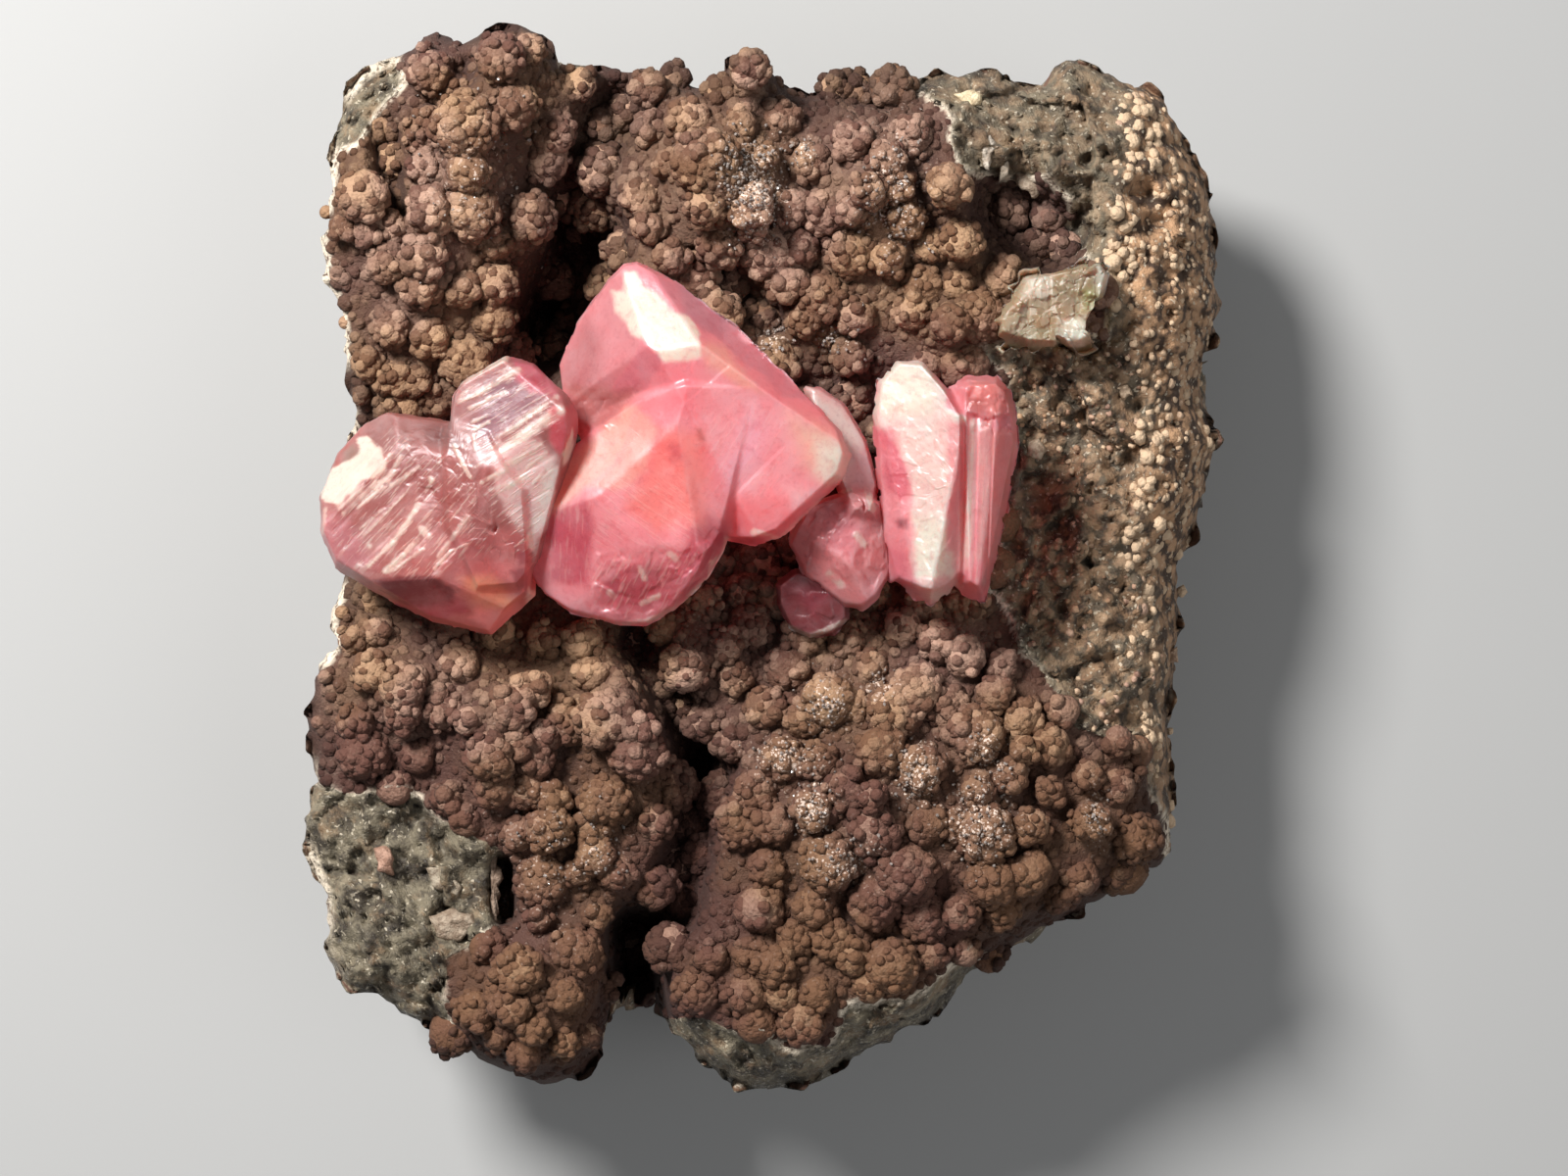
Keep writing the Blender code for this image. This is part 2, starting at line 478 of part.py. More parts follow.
LEFT_LOWER = {
    "girdle": [
        (-21.5, 5.3, 21.0), (-20.15, 6.85, 21.5), (-18.85, 7.45, 21.8), (-15.65, 6.75, 22.5),
        (-13.65, 3.45, 22.5), (-12.15, 0.45, 21.8),
        (-11.4, -1.95, 20.5), (-13.6, -3.95, 20.0), (-16.75, -3.25, 20.0), (-19.5, -1.85, 20.3),
        (-21.6, -0.55, 20.3), (-22.35, 1.2, 20.3),
        (-22.4, 3.05, 20.5)],
    "tables": [
        ((-21.5, 2.45, 23.3), (-14.75, 4.45, 24.6), (-16.75, -1.05, 23.9)),
        ((-21.5, 2.45, 23.3), (-18.35, 5.35, 24.4), (-21.15, 4.95, 22.0)),
        ((-19.35, -0.95, 23.7), (-16.45, -1.05, 23.9), (-17.25, -2.95, 21.6)),
        ((-16.15, -1.05, 23.9), (-13.85, 2.45, 24.5), (-12.75, -2.3, 22.6)),
        ((-18.25, 5.35, 24.3), (-15.25, 4.85, 24.6), (-17.25, 6.95, 23.2))],
    "grooves": [
        (0, (-21.75, 1.2), (-18.5, 4.55), 0.55, 0.3), (0, (-21.15, 0.45), (-17.5, 4.1), 0.65, 0.35),
        (0, (-20.35, -0.4), (-16.35, 3.6), 0.7, 0.4), (0, (-18.85, -0.85), (-15.25, 2.85), 0.8, 0.4),
        (0, (-16.95, -1.15), (-14.15, 1.75), 0.65, 0.35)]}

LEFT_UPPER = {
    "girdle": [
        (-15.7, 7.55, 23.0), (-15.6, 8.35, 23.0), (-15.15, 9, 23.0), (-12.95, 10.3, 23.2),
        (-11.45, 9.9, 23.5), (-10.65, 9.15, 23.8),
        (-10.15, 8.05, 24.0), (-10.05, 7.2, 24.0), (-10.25, 4.95, 23.8), (-10.75, 2.45, 23.4),
        (-11.4, -0.3, 22.5), (-12.15, -1.45, 22.0),
        (-13.35, 0.2, 22.3), (-14.4, 3.3, 22.8), (-15.2, 5.8, 22.9)],
    "tables": [
        ((-15.5, 8.35, 24.5), (-10.35, 7.95, 26.0), (-13.75, 4.55, 25.2)),
        ((-12.8, 10.15, 24.8), (-10.4, 8.35, 25.4), (-11.15, 9.65, 24.2)),
        ((-13.75, 4.55, 25.2), (-10.45, 6.45, 25.8), (-12, -0.8, 23.0))],
    "grooves": [
        (0, (-15.65, 8.05), (-12.25, 9.85), 0.6, 0.35), (0, (-15.35, 7.05), (-11.35, 9.25), 0.65, 0.4),
        (0, (-14.75, 5.85), (-10.15, 8.35), 0.65, 0.45), (0, (-14.05, 4.95), (-10.15, 7.1), 0.6, 0.4),
        (2, (-13.75, 3.3), (-10.45, 5.15), 0.65, 0.4), (2, (-13.25, 1.95), (-10.75, 3.45), 0.6, 0.35)]}

CENTRE_UPPER = {
    "girdle": [
        (-6.9, 14.95, 23.3), (-6.15, 15.1, 23.3), (-4.25, 14.05, 24.2), (-1.15, 11.8, 24.3),
        (2.7, 7.95, 24.3), (4.15, 6.45, 23.8),
        (4.7, 5.25, 23.2), (4.35, 3.95, 22.8), (1.1, 1, 22.3), (-0.25, 0.6, 22.3), (-2, 1.05, 22.0),
        (-8.75, 8.35, 21.5),
        (-10.2, 9.75, 20.8), (-9.25, 12.05, 21.5), (-7.8, 14.1, 22.6)],
    "tables": [
        ((-10, 9.85, 21.3), (-6.9, 14.25, 24.9), (-6, 10.65, 26.3)),
        ((-6.9, 14.25, 24.9), (-3, 10.85, 26.9), (-5.35, 10.85, 26.6)),
        ((-4.25, 13.95, 24.4), (2.7, 7.85, 24.5), (-3, 10.85, 26.9)),
        ((-3, 10.85, 26.9), (2.75, 5.7, 25.7), (-1.5, 1.2, 24.4)),
        ((2.75, 5.85, 25.7), (3, 3.45, 24.6), (4.65, 4.95, 23.8)),
        ((-5.9, 10.65, 26.4), (-8.75, 8.35, 22.8), (-4.75, 9.85, 26.7))],
    "grooves": [
        (3, (-4.25, 7.45), (-1.5, 9.85), 0.7, 0.3), (3, (-2, 2.45), (1.25, 5.7), 0.8, 0.3)]}

CENTRE_LOWER = {
    "girdle": [
        (-11.7, -0.8, 21.5), (-11.6, 0.7, 22.0), (-11.2, 2, 22.6), (-10.45, 3.85, 23.0),
        (-9.35, 5.75, 23.2), (-8.35, 6.65, 23.4),
        (-6.15, 8.05, 24.0), (-3.75, 8.45, 24.5), (-1.5, 1.2, 22.6), (-1.85, 0.35, 22.3),
        (-2.65, -1.05, 22.0), (-4.25, -2.65, 21.8),
        (-5.7, -3.45, 21.6), (-7.3, -3.4, 21.4), (-9.6, -2.8, 21.3), (-10.95, -1.9, 21.3)],
    "tables": [
        ((-10, 2.85, 24.0), (-6.75, 3.95, 25.6), (-6.75, 7.2, 24.6)),
        ((-8.65, 3.4, 24.9), (-5.35, 6.55, 26.0), (-4.25, 0.45, 25.2)),
        ((-11.15, 1.85, 23.3), (-8.65, 3.3, 24.9), (-9.75, -2.3, 22.2)),
        ((-8, 1.2, 25.0), (-3.75, -0.05, 24.9), (-6, -3.15, 22.4))]}

SMALL_BEHIND = {
    "girdle": [
        (2.15, 8.85, 20.6), (3.15, 8.65, 20.8), (4.35, 7.8, 20.8), (5.45, 5.95, 20.6), (6.05, 3.65, 20.4),
        (5.9, 1.95, 20.4), (4.5, 1.95, 20.4),
        (2.85, 5.95, 20.4)],
    "tables": [((3.25, 8.45, 21.6), (5.5, 4.95, 21.3), (4, 4.95, 21.7))]}

SMALL_UPPER = {
    "girdle": [
        (1.4, 0.65, 20.6), (1.65, 1.55, 20.8), (2.45, 2.8, 21.2), (4.65, 3.55, 21.6), (6.25, 2.85, 21.6),
        (6.6, 0.45, 21.4),
        (6.7, -0.75, 21.2), (6.05, -2.05, 20.8), (5.25, -2.7, 20.4), (4.25, -2.45, 20.3),
        (2.35, -0.95, 20.4)],
    "tables": [
        ((2.75, 2.45, 22.6), (5.25, 2.45, 23.0), (4.75, -1.05, 22.8)),
        ((1.85, 0.45, 21.6), (3.75, 0.45, 22.9), (4.35, -2.15, 21.2)),
        ((6, 1.95, 22.6), (6.5, -0.05, 21.9), (5.25, -1.55, 22.2))]}

SMALL_LOWER = {
    "girdle": [
        (0.8, -1.35, 18.8), (0.95, -2.45, 18.8), (1.55, -3.6, 18.6), (2.55, -4.1, 18.5),
        (3.8, -3.95, 18.6), (4.55, -3.15, 18.8),
        (4.6, -2.15, 19.0), (3.5, -1.05, 19.4), (1.85, -0.55, 19.3)],
    "tables": [((1.75, -1.55, 20.2), (3.75, -1.8, 20.4), (2.75, -3.55, 19.6))]}

RIGHT_BLADE = {
    "girdle": [
        (5.7, 7.2, 22.2), (6.05, 8.95, 22.6), (6.95, 10.05, 22.8), (8.35, 10, 23.0), (9.55, 8.75, 23.0),
        (10.6, 7.25, 23.0),
        (10.6, 6.2, 23.0), (10.5, -0.95, 21.6), (9.65, -1.85, 21.4), (8.75, -2.4, 21.2),
        (7.9, -2.15, 21.2), (6.6, -1.2, 21.3),
        (6.2, 1.2, 21.8)],
    "tables": [
        ((5.9, 7.95, 23.4), (10.45, 6.85, 25.8), (8.25, -1.05, 24.4)),
        ((5.9, 5.95, 23.0), (7.75, 1.7, 24.5), (6.5, -1.05, 22.4)),
        ((10.45, 6.85, 25.8), (9.55, 2.45, 25.2), (10.75, 3.45, 24.4))]}

RIGHT_GROOVED = {
    "girdle": [
        (9.55, 8.85, 21.6), (10.45, 9.25, 21.6), (12.05, 9.25, 21.8), (12.75, 8.65, 21.8),
        (13.05, 7.45, 21.8), (13.15, 5.7, 21.8),
        (12.65, 2.95, 21.6), (12.1, -0.05, 21.2), (11.75, -1.35, 21.0), (11.45, -2.2, 20.8),
        (10.75, -2.15, 20.8), (9.85, -1.55, 21.0)],
    "tables": [
        ((10, 8.45, 24.2), (12.25, 7.95, 24.0), (11.25, -1.05, 23.4)),
        ((12.35, 7.95, 23.9), (12.95, 5.45, 22.8), (11.5, -0.8, 23.2)),
        ((10, 8.55, 24.2), (12, 8.95, 22.6), (10.75, 9.05, 22.8))],
    "grooves": [
        (0, (10.9, -2.15), (11.15, 8.05), 0.4, 0.5), (0, (11.55, -2.15), (11.95, 7.2), 0.4, 0.6)]}

PALE = {
    "girdle": [
        (11.95, 11.2, 19.0), (12, 12.1, 19.2), (13.5, 14.2, 19.4), (14.65, 14.5, 19.6),
        (17.3, 15.05, 19.8), (17.75, 14.35, 19.8),
        (17.15, 12.05, 19.6), (16.85, 10.95, 19.4), (15.85, 10.6, 19.2), (13.55, 10.7, 19.0)],
    "tables": [((12.75, 12.45, 20.5), (17.25, 14.45, 21.1), (15.75, 11.2, 20.6))],
    "grooves": [
        (0, (13.3, 9.95), (13.3, 11.65), 1.2, 6.0), (0, (15.3, 9.95), (15.3, 11.75), 0.35, 6.0),
        (0, (13.65, 11.85), (13.75, 14.35), 0.45, 0.25), (0, (14.75, 11.2), (14.85, 14.7), 0.5, 0.3),
        (0, (16.05, 11.95), (16.15, 14.95), 0.6, 0.3)]}


def plane_through(a, b, c, heart):
    """First of three points, and the unit normal of their plane that faces away from a crystal's heart."""
    normal = np.cross(b - a, c - a)
    normal /= np.linalg.norm(normal)
    return a, normal if normal @ (a - heart) > 0 else -normal


def crystal_planes(shape, bed, grow):
    """A crystal's heart, a little under the middle of its girdle, and all its faces, moved out by grow."""
    girdle = placed(shape["girdle"])
    heart = girdle.mean(axis=0) - [0, 0, 1]
    planes = [plane_through(*placed(table), heart) for table in shape["tables"]]
    for a, b in zip(girdle, np.roll(girdle, -1, axis=0)):
        run = b - a
        outward = np.array([run[1], -run[0], 0])
        outward *= np.sign(outward @ (a - heart)) / np.linalg.norm(outward)
        up_in = [0, 0, math.sin(CROWN_SLOPE)] - outward * math.cos(CROWN_SLOPE)
        down_in = [0, 0, -math.cos(UNDERCUT)] - outward * math.sin(UNDERCUT)
        planes.append(plane_through(a, b, a + up_in, heart))
        planes.append(plane_through(a, b, a + down_in, heart))
    planes.append((np.array([0, 0, bed]), np.array([0, 0, -1.0])))
    return heart, [(point + normal * grow, normal) for point, normal in planes]


def cut_solid(name, shape, bed, grow=0.0):
    """Mesh of the solid left when a block is cut by every face of a crystal."""
    heart, planes = crystal_planes(shape, bed, grow)
    solid = bmesh.new()
    bmesh.ops.create_cube(solid, size=2 * (CRYSTAL_BED + CRUST_LEVEL))
    bmesh.ops.translate(solid, verts=solid.verts, vec=Vector(heart))
    for point, normal in planes:
        parts = solid.verts[:] + solid.edges[:] + solid.faces[:]
        cut = bmesh.ops.bisect_plane(solid, geom=parts, dist=1e-5, plane_co=point, plane_no=normal,
                                     clear_outer=True)
        rim = [part for part in cut["geom_cut"] if isinstance(part, bmesh.types.BMEdge)]
        if rim:
            bmesh.ops.edgeloop_fill(solid, edges=rim)
    bmesh.ops.remove_doubles(solid, verts=solid.verts, dist=SHORTEST_EDGE)
    bmesh.ops.recalc_face_normals(solid, faces=solid.faces)
    return scaled_mesh(name, solid)


def groove_mesh(name, shape):
    """Wedges that cut a crystal's grooves: each has a steep side down from the table and a slope back up."""
    heart = placed(shape["girdle"]).mean(axis=0)
    solid = bmesh.new()
    for number, start, end, width, depth in shape["grooves"]:
        point, normal = plane_through(*placed(shape["tables"][number]), heart)
        ends = placed([(*start, CRUST_LEVEL), (*end, CRUST_LEVEL)])
        ends[:, 2] = point[2] - ((ends - point)[:, :2] @ normal[:2]) / normal[2]
        run = ends[1] - ends[0]
        across = np.array([-run[1], run[0], 0]) / np.linalg.norm(run[:2])
        across[2] = -(across[:2] @ normal[:2]) / normal[2]
        # Section: 1 mm over the table, the groove's depth under it, and where the slope comes out
        corners = [normal, -depth * normal, width * (1 + 1 / depth) * across + normal]
        near, far = [[solid.verts.new(Vector(at + corner)) for corner in corners] for at in ends]
        solid.faces.new(near)
        solid.faces.new(far[::-1])
        for a in range(3):
            b = (a + 1) % 3
            solid.faces.new((near[b], near[a], far[a], far[b]))
    bmesh.ops.recalc_face_normals(solid, faces=solid.faces)
    return scaled_mesh(name, solid)


def scaled_mesh(name, solid):
    """Mesh in metres from a worked one in millimetres, which is freed."""
    bmesh.ops.scale(solid, verts=solid.verts, vec=(MM, MM, MM))
    mesh = bpy.data.meshes.new(name)
    solid.to_mesh(mesh)
    solid.free()
    return mesh


def hidden(made):
    """Mark an object as a cutter or a guide, which isn't a piece of the specimen."""
    made.hide_render = True
    made.display_type = "WIRE"
    return made


def combine(made, other, operation):
    """Exact Boolean of one object with another."""
    step = made.modifiers.new(operation.title(), "BOOLEAN")
    step.operation = operation
    step.solver = "EXACT"
    step.object = other


def cut_grooves(crystal, shape, finish):
    """Cut a crystal's own grooves."""
    if "grooves" in shape:
        part = f"{crystal.name}.grooves"
        combine(crystal, hidden(add_object(part, groove_mesh(part, shape), finish)), "DIFFERENCE")


def make_crystals(name, shapes, finish, bed=CRYSTAL_BED):
    """Crystals grown together as one solid, and cutters of the same shapes grown by the fit gap."""
    first = add_object(name, cut_solid(name, shapes[0], bed), finish)
    cut_grooves(first, shapes[0], finish)
    for number, shape in enumerate(shapes[1:], 2):
        part = f"{name}.part{number}"
        grown = hidden(add_object(part, cut_solid(part, shape, bed), finish))
        cut_grooves(grown, shape, finish)
        combine(first, grown, "UNION")
    cutters = []
    for number, shape in enumerate(shapes, 1):
        part = f"{name}.socket{number}"
        cutters.append(hidden(add_object(part, cut_solid(part, shape, bed, FIT_GAP), finish)))
    return first, cutters


def main():
    """Clear the scene and build the specimen."""
    for old in list(bpy.data.objects):
        bpy.data.objects.remove(old)
    crust = material("brown crust", (0.20, 0.125, 0.085), 0.8)
    pink = material("pink crystal", (0.83, 0.33, 0.34), 0.25)
    mauve = material("mauve crystal", (0.55, 0.22, 0.25), 0.25)
    cream = material("cream crystal", (0.62, 0.52, 0.40), 0.45)

    matrix = make_matrix(crust)
    left, left_cutters = make_crystals("left_crystals", [LEFT_LOWER, LEFT_UPPER], pink)
    centre, centre_cutters = make_crystals("centre_crystals", [CENTRE_UPPER, CENTRE_LOWER], pink)
    small, small_cutters = make_crystals("small_crystals", [SMALL_UPPER, SMALL_BEHIND, SMALL_LOWER], mauve)
    right, right_cutters = make_crystals("right_crystals", [RIGHT_BLADE, RIGHT_GROOVED], pink)
    pale, pale_cutters = make_crystals("pale_crystal", [PALE], cream, PALE_BED)

    for cutter in left_cutters:
        combine(centre, cutter, "DIFFERENCE")
    for cutter in centre_cutters + right_cutters:
        combine(small, cutter, "DIFFERENCE")
    for cutter in left_cutters + centre_cutters + small_cutters + right_cutters + pale_cutters:
        combine(matrix, cutter, "DIFFERENCE")


main()
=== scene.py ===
"""Looks of a rhodochrosite specimen: botryoidal crust, broken host rock and clear pink crystals.

Blender 4.5 script, laid out as an add-on and run as a script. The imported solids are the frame: every piece
stands where its solid stands. Shapes are worked out in millimetres, +Z up, and scaled once, when a mesh is
made. Plan positions are given at the level of the crust, and the block and everything on it widen downwards
from that level by FLARE, as the solids do.
"""
import math

import bpy
import numpy as np
from bpy.props import FloatProperty, FloatVectorProperty, PointerProperty
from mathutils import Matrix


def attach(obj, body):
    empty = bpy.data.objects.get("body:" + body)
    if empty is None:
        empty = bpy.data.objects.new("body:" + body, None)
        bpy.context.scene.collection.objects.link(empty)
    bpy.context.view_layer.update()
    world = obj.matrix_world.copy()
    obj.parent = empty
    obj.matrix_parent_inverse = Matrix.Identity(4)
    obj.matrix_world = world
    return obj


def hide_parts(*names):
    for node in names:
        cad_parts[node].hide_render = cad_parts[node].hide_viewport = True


bl_info = {
    "name": "Rhodochrosite Specimen",
    "version": (1, 0, 0),
    "blender": (4, 5, 0),
    "location": "3D View > Sidebar > Specimen",
    "description": "Crust, broken rock and clear pink crystals of a mineral specimen",
    "category": "Add Mesh",
}

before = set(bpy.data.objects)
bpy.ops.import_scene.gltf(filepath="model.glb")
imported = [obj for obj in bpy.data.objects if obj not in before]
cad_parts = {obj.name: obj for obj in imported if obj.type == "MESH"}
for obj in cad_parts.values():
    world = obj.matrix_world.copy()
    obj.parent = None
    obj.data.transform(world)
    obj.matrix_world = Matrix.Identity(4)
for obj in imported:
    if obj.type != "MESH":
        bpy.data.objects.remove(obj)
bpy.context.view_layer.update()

MM = 0.001
CRUST_LEVEL = 22.0        # height of the crust's highest lumps above the underside
GROUND_LEVEL = 17.5       # mean height of the top surface between the mounds
LOWEST_GROUND = 2.5       # floor of the deepest furrow
FLARE = 1 / 149.0         # share by which the block widens for each millimetre of depth
FLARE_AXIS = (1.25, -1.55)
MIDDLE = (0.32, -0.21)    # place in plan under which the origin lies
CRYSTAL_BED = 14.4        # flat bottom of the crystals
PALE_BED = 16.0           # the same for the pale crystal, which stands higher
FOOT_HEIGHT = 1.3         # where the broken walls turn under towards the flat underside
FOOT_INSET = 1.6
FOOT_SWAY = 0.6
FOOT_CALM = 0.6           # share of the wall's height below which its ledges and facets fade out


def rows(width, *numbers):
    """Rows of a table written in twentieths: of a millimetre for lengths, of the whole for strengths."""
    starts = range(0, len(numbers), width)
    return [tuple(number / 20 for number in numbers[start:start + width]) for start in starts]


def plan(*numbers):
    """Plan positions, x and y of each in turn, written in twentieths of a millimetre."""
    return rows(2, *numbers)


def shade(red, green, blue):
    """Linear colour from the usual display values of 0 to 255."""
    return tuple((value / 255) ** 2.2 for value in (red, green, blue))


# Outline of the block in plan, anticlockwise from its lower-left corner
LOWER_EDGE = plan(-430, -423, -414, -441, -386, -449, -363, -467, -322, -482, -296, -505, -258, -523,
    -220, -537, -179, -525, -154, -482, -141, -453, -113, -449, -95, -471, -78, -497, -32, -531, -2, -541,
    55, -533, 95, -510, 164, -477, 195, -451, 227, -414, 288, -378, 344, -352, 380, -327)
RIGHT_EDGE = plan(418, -306, 423, -276, 419, -197, 418, -146, 428, -82, 429, -11, 441, 19, 453, 64, 457, 94,
    466, 117, 452, 159, 456, 191, 469, 255, 467, 288, 458, 370, 444, 403)
UPPER_EDGE = plan(418, 457, 400, 477, 349, 496, 311, 508, 291, 485, 268, 481, 232, 495, 184, 494, 157, 480,
    121, 467, 93, 475, 74, 484, 55, 471, 26, 481, 11, 503, -9, 519, -27, 507, -42, 486, -65, 480, -111, 496,
    -161, 499, -185, 490, -208, 509, -223, 530, -263, 538, -297, 528, -322, 531, -341, 535, -353, 517,
    -378, 508, -404, 495)
LEFT_EDGE = plan(-423, 471, -432, 424, -441, 369, -447, 324, -441, 281, -427, 250, -424, 212, -417, 159,
    -415, 99, -419, 9, -427, -31, -439, -64, -434, -90, -452, -118, -458, -171, -455, -235, -466, -286,
    -444, -344, -442, -395)
OUTLINE = LOWER_EDGE + RIGHT_EDGE + UPPER_EDGE + LEFT_EDGE

# How the top falls away inside the outline: bearing in degrees, width and depth of the fall
EDGE_FALL = [
    (0, 6.0, 8.5), (40, 5.0, 7.0), (62, 3.5, 4.5), (90, 2.2, 3.0), (120, 1.6, 2.5), (150, 0.9, 1.5),
    (190, 0.9, 1.5), (215, 1.6, 2.5), (240, 2.6, 5.0), (270, 2.4, 5.5), (300, 3.0, 6.0), (325, 3.6, 6.0),
    (345, 4.6, 7.5)]

# Mounds of the crust: place, reach along X and Y, rise. The upper left mass, the dome and the cluster right
# of it, the two fingers, the lower left mass, the lobe beside the notch, the wedge and the broad field
MOUNDS = rows(5, -297, 419, 42, 75, 56, -335, 304, 50, 62, 36, -405, 369, 26, 55, 24, -255, 497, 34, 40, 44,
    -230, 334, 22, 28, 52, -160, 404, 30, 40, 24, -40, 384, 44, 52, 72, -10, 494, 16, 18, 36,
    110, 374, 46, 66, 48, 193, 377, 20, 20, 60, 210, 326, 20, 26, 36, 190, 234, 38, 32, 28,
    -365, -136, 60, 55, 40, -270, -176, 36, 62, 44, -135, -166, 40, 52, 64, -230, -441, 56, 50, 44,
    -75, -81, 40, 42, 40, 145, -251, 170, 140, 56, 25, -431, 90, 40, 16)

# Furrows and hollows: two ends of the line, half width, depth. The deep hollow of the upper left mass, the
# valley below the wedge, the notch, the cavity in the dark rock, and last the trough of the crystals
FURROWS = rows(6, -183, 319, -209, 239, 42, 180, -213, 244, -240, 184, 26, 100,
    -150, 451, -197, 364, 36, 68, -383, 434, -373, 354, 14, 32, -295, 499, -325, 469, 14, 24,
    -120, -86, -57, -211, 24, 68, -53, -211, -85, -356, 28, 72, -125, -381, -127, -506, 24, 280,
    255, 354, 295, 329, 42, 84, 403, 344, 390, 374, 16, 24, -57, 301, 10, 244, 17, 36,
    -262, -316, -260, -361, 11, 90, -400, 69, 225, 69, 120, 48)

# Bare host rock, where the crust has broken away
HOST_LOWER_LEFT = plan(-475, -221, -429, -232, -386, -230, -348, -243, -317, -273, -281, -289, -263, -306,
    -274, -375, -321, -410, -312, -461, -320, -501, -475, -481)
HOST_RIGHT = plan(235, 219, 375, 229, 485, 269, 485, -311, 415, -311, 390, -191, 330, -176, 265, -81,
    235, -31, 265, 109)
HOST_UPPER_RIGHT = plan(130, 509, 185, 451, 210, 399, 245, 379, 285, 389, 310, 369, 325, 307, 360, 269,
    360, 219, 485, 229, 485, 529)
HOST_UPPER_LEFT = plan(-435, 509, -363, 514, -367, 484, -385, 451, -407, 423, -427, 419, -440, 429)
HOST_BOTTOM = plan(-120, -461, -85, -466, -40, -479, 5, -493, 37, -503, 75, -491, 87, -463, 130, -449,
    175, -439, 225, -391, 235, -441, 125, -551, -15, -571, -125, -531)
HOST_PATCHES = [HOST_LOWER_LEFT, HOST_RIGHT, HOST_UPPER_RIGHT, HOST_UPPER_LEFT, HOST_BOTTOM]

# Hollow ring-shaped growths on the bare rock: place and radius
RINGS = rows(3, 332, 403, 14, 351, 415, 10, 429, 319, 12, 418, 249, 13, 385, -255, 11)

# Single lumps of the crust that stand out: place, radius, height of the centre over the ground
LUMPS = rows(4, -405, 369, 26, 10, -380, 494, 20, 4, -341, 517, 15, 12, -335, 494, 22, 8, -265, 509, 24, 12,
    -235, 519, 16, 12, -252, 461, 26, 6, -300, 439, 34, 4, -343, 397, 16, 6, -297, 394, 22, 6,
    -335, 354, 24, 8, -293, 351, 28, 8, -343, 307, 22, 6, -423, 337, 14, 6, -400, 334, 14, 6,
    -375, 337, 15, 6, -380, 299, 20, 6, -230, 347, 24, 10, -270, 279, 22, 8, -400, 199, 17, 6,
    -375, 184, 19, 6, -349, 181, 16, 6, -335, 224, 20, 4, -135, 454, 20, 8, -113, 479, 18, 8,
    -160, 394, 26, 4, -55, 404, 34, 0, -20, 444, 15, 10, 7, 409, 13, 16, -10, 359, 24, 8, -7, 337, 16, 10,
    -55, 357, 20, 6, -10, 499, 19, 12, 95, 424, 20, 10, 130, 404, 20, 10, 110, 374, 18, 12, 93, 354, 16, 10,
    140, 379, 18, 10, 150, 344, 20, 8, 130, 304, 18, 10, 75, 479, 14, 8, 193, 379, 22, 10, 205, 324, 21, 10,
    195, 239, 20, 8, 155, 249, 18, 6, 65, 264, 26, 0, 93, 204, 18, 8, -90, 307, 16, 8, -112, 337, 15, 10,
    -403, -201, 26, 8, -393, -76, 14, 8, -425, -56, 14, 6, -365, -131, 24, 2, -235, -135, 19, 18,
    -220, -181, 16, 16, -230, -206, 18, 12, -297, -166, 15, 8, -255, -156, 24, 2, -275, -201, 24, 2,
    -160, -166, 28, 2, -125, -199, 28, 4, -120, -176, 16, 8, -215, -276, 24, 18, -215, -246, 18, 14,
    -157, -246, 25, 12, -167, -303, 20, 12, -107, -336, 22, 14, -185, -321, 14, 8, -165, -366, 14, 8,
    -245, -421, 25, 10, -277, -396, 18, 6, -290, -461, 20, 8, -252, -461, 17, 12, -230, -481, 16, 12,
    -240, -506, 17, 10, -200, -496, 14, 10, -175, -486, 14, 8, -157, -441, 13, 10, -267, -491, 13, 8,
    -225, -369, 13, 10, -55, -166, 22, 14, -75, -111, 26, 6, -10, -71, 24, 4, 70, -146, 26, 10,
    160, -136, 26, 10, 210, -101, 20, 16, 241, -138, 18, 18, 247, -111, 15, 12, 220, -181, 28, 6,
    270, -196, 14, 16, 310, -156, 17, 14, 255, -224, 16, 12, 295, -239, 15, 14, 25, -206, 22, 8,
    165, -216, 24, 8, 115, -243, 14, 18, 55, -256, 20, 12, 70, -311, 30, 8, 15, -271, 20, 8,
    150, -321, 30, 10, 230, -281, 30, 8, 277, -273, 18, 16, 337, -269, 20, 18, 235, -331, 26, 8,
    275, -321, 22, 8, 305, -346, 16, 10, 205, -361, 18, 12, 210, -401, 16, 12, 135, -416, 28, 8,
    15, -416, 20, 8, 0, -356, 24, 6, 75, -391, 22, 6, 55, -356, 22, 6, -60, -301, 20, 6, 365, -186, 16, 8,
    335, -221, 15, 10)

LUMP_SPACING = 2.3        # between the smaller lumps that cover the rest of the crust
LUMP_JITTER = 0.5
LUMP_RADIUS = (0.8, 1.35)
LUMP_LIFT = (-0.1, 0.35)  # height of a small lump's centre over the ground
LUMP_OVERLAP = 0.62       # nearest two lumps come, over the sum of their radii
LUMP_SQUASH = 0.8         # height of a lump over its radius
LUMP_SEED = 7
LATTICE_ROWS = 17         # rows and columns of the lattice on each side of its middle
LATTICE_COLUMNS = 14
CALM_SPAN = 25            # places on each side over which the walls even out the small steps of the rim

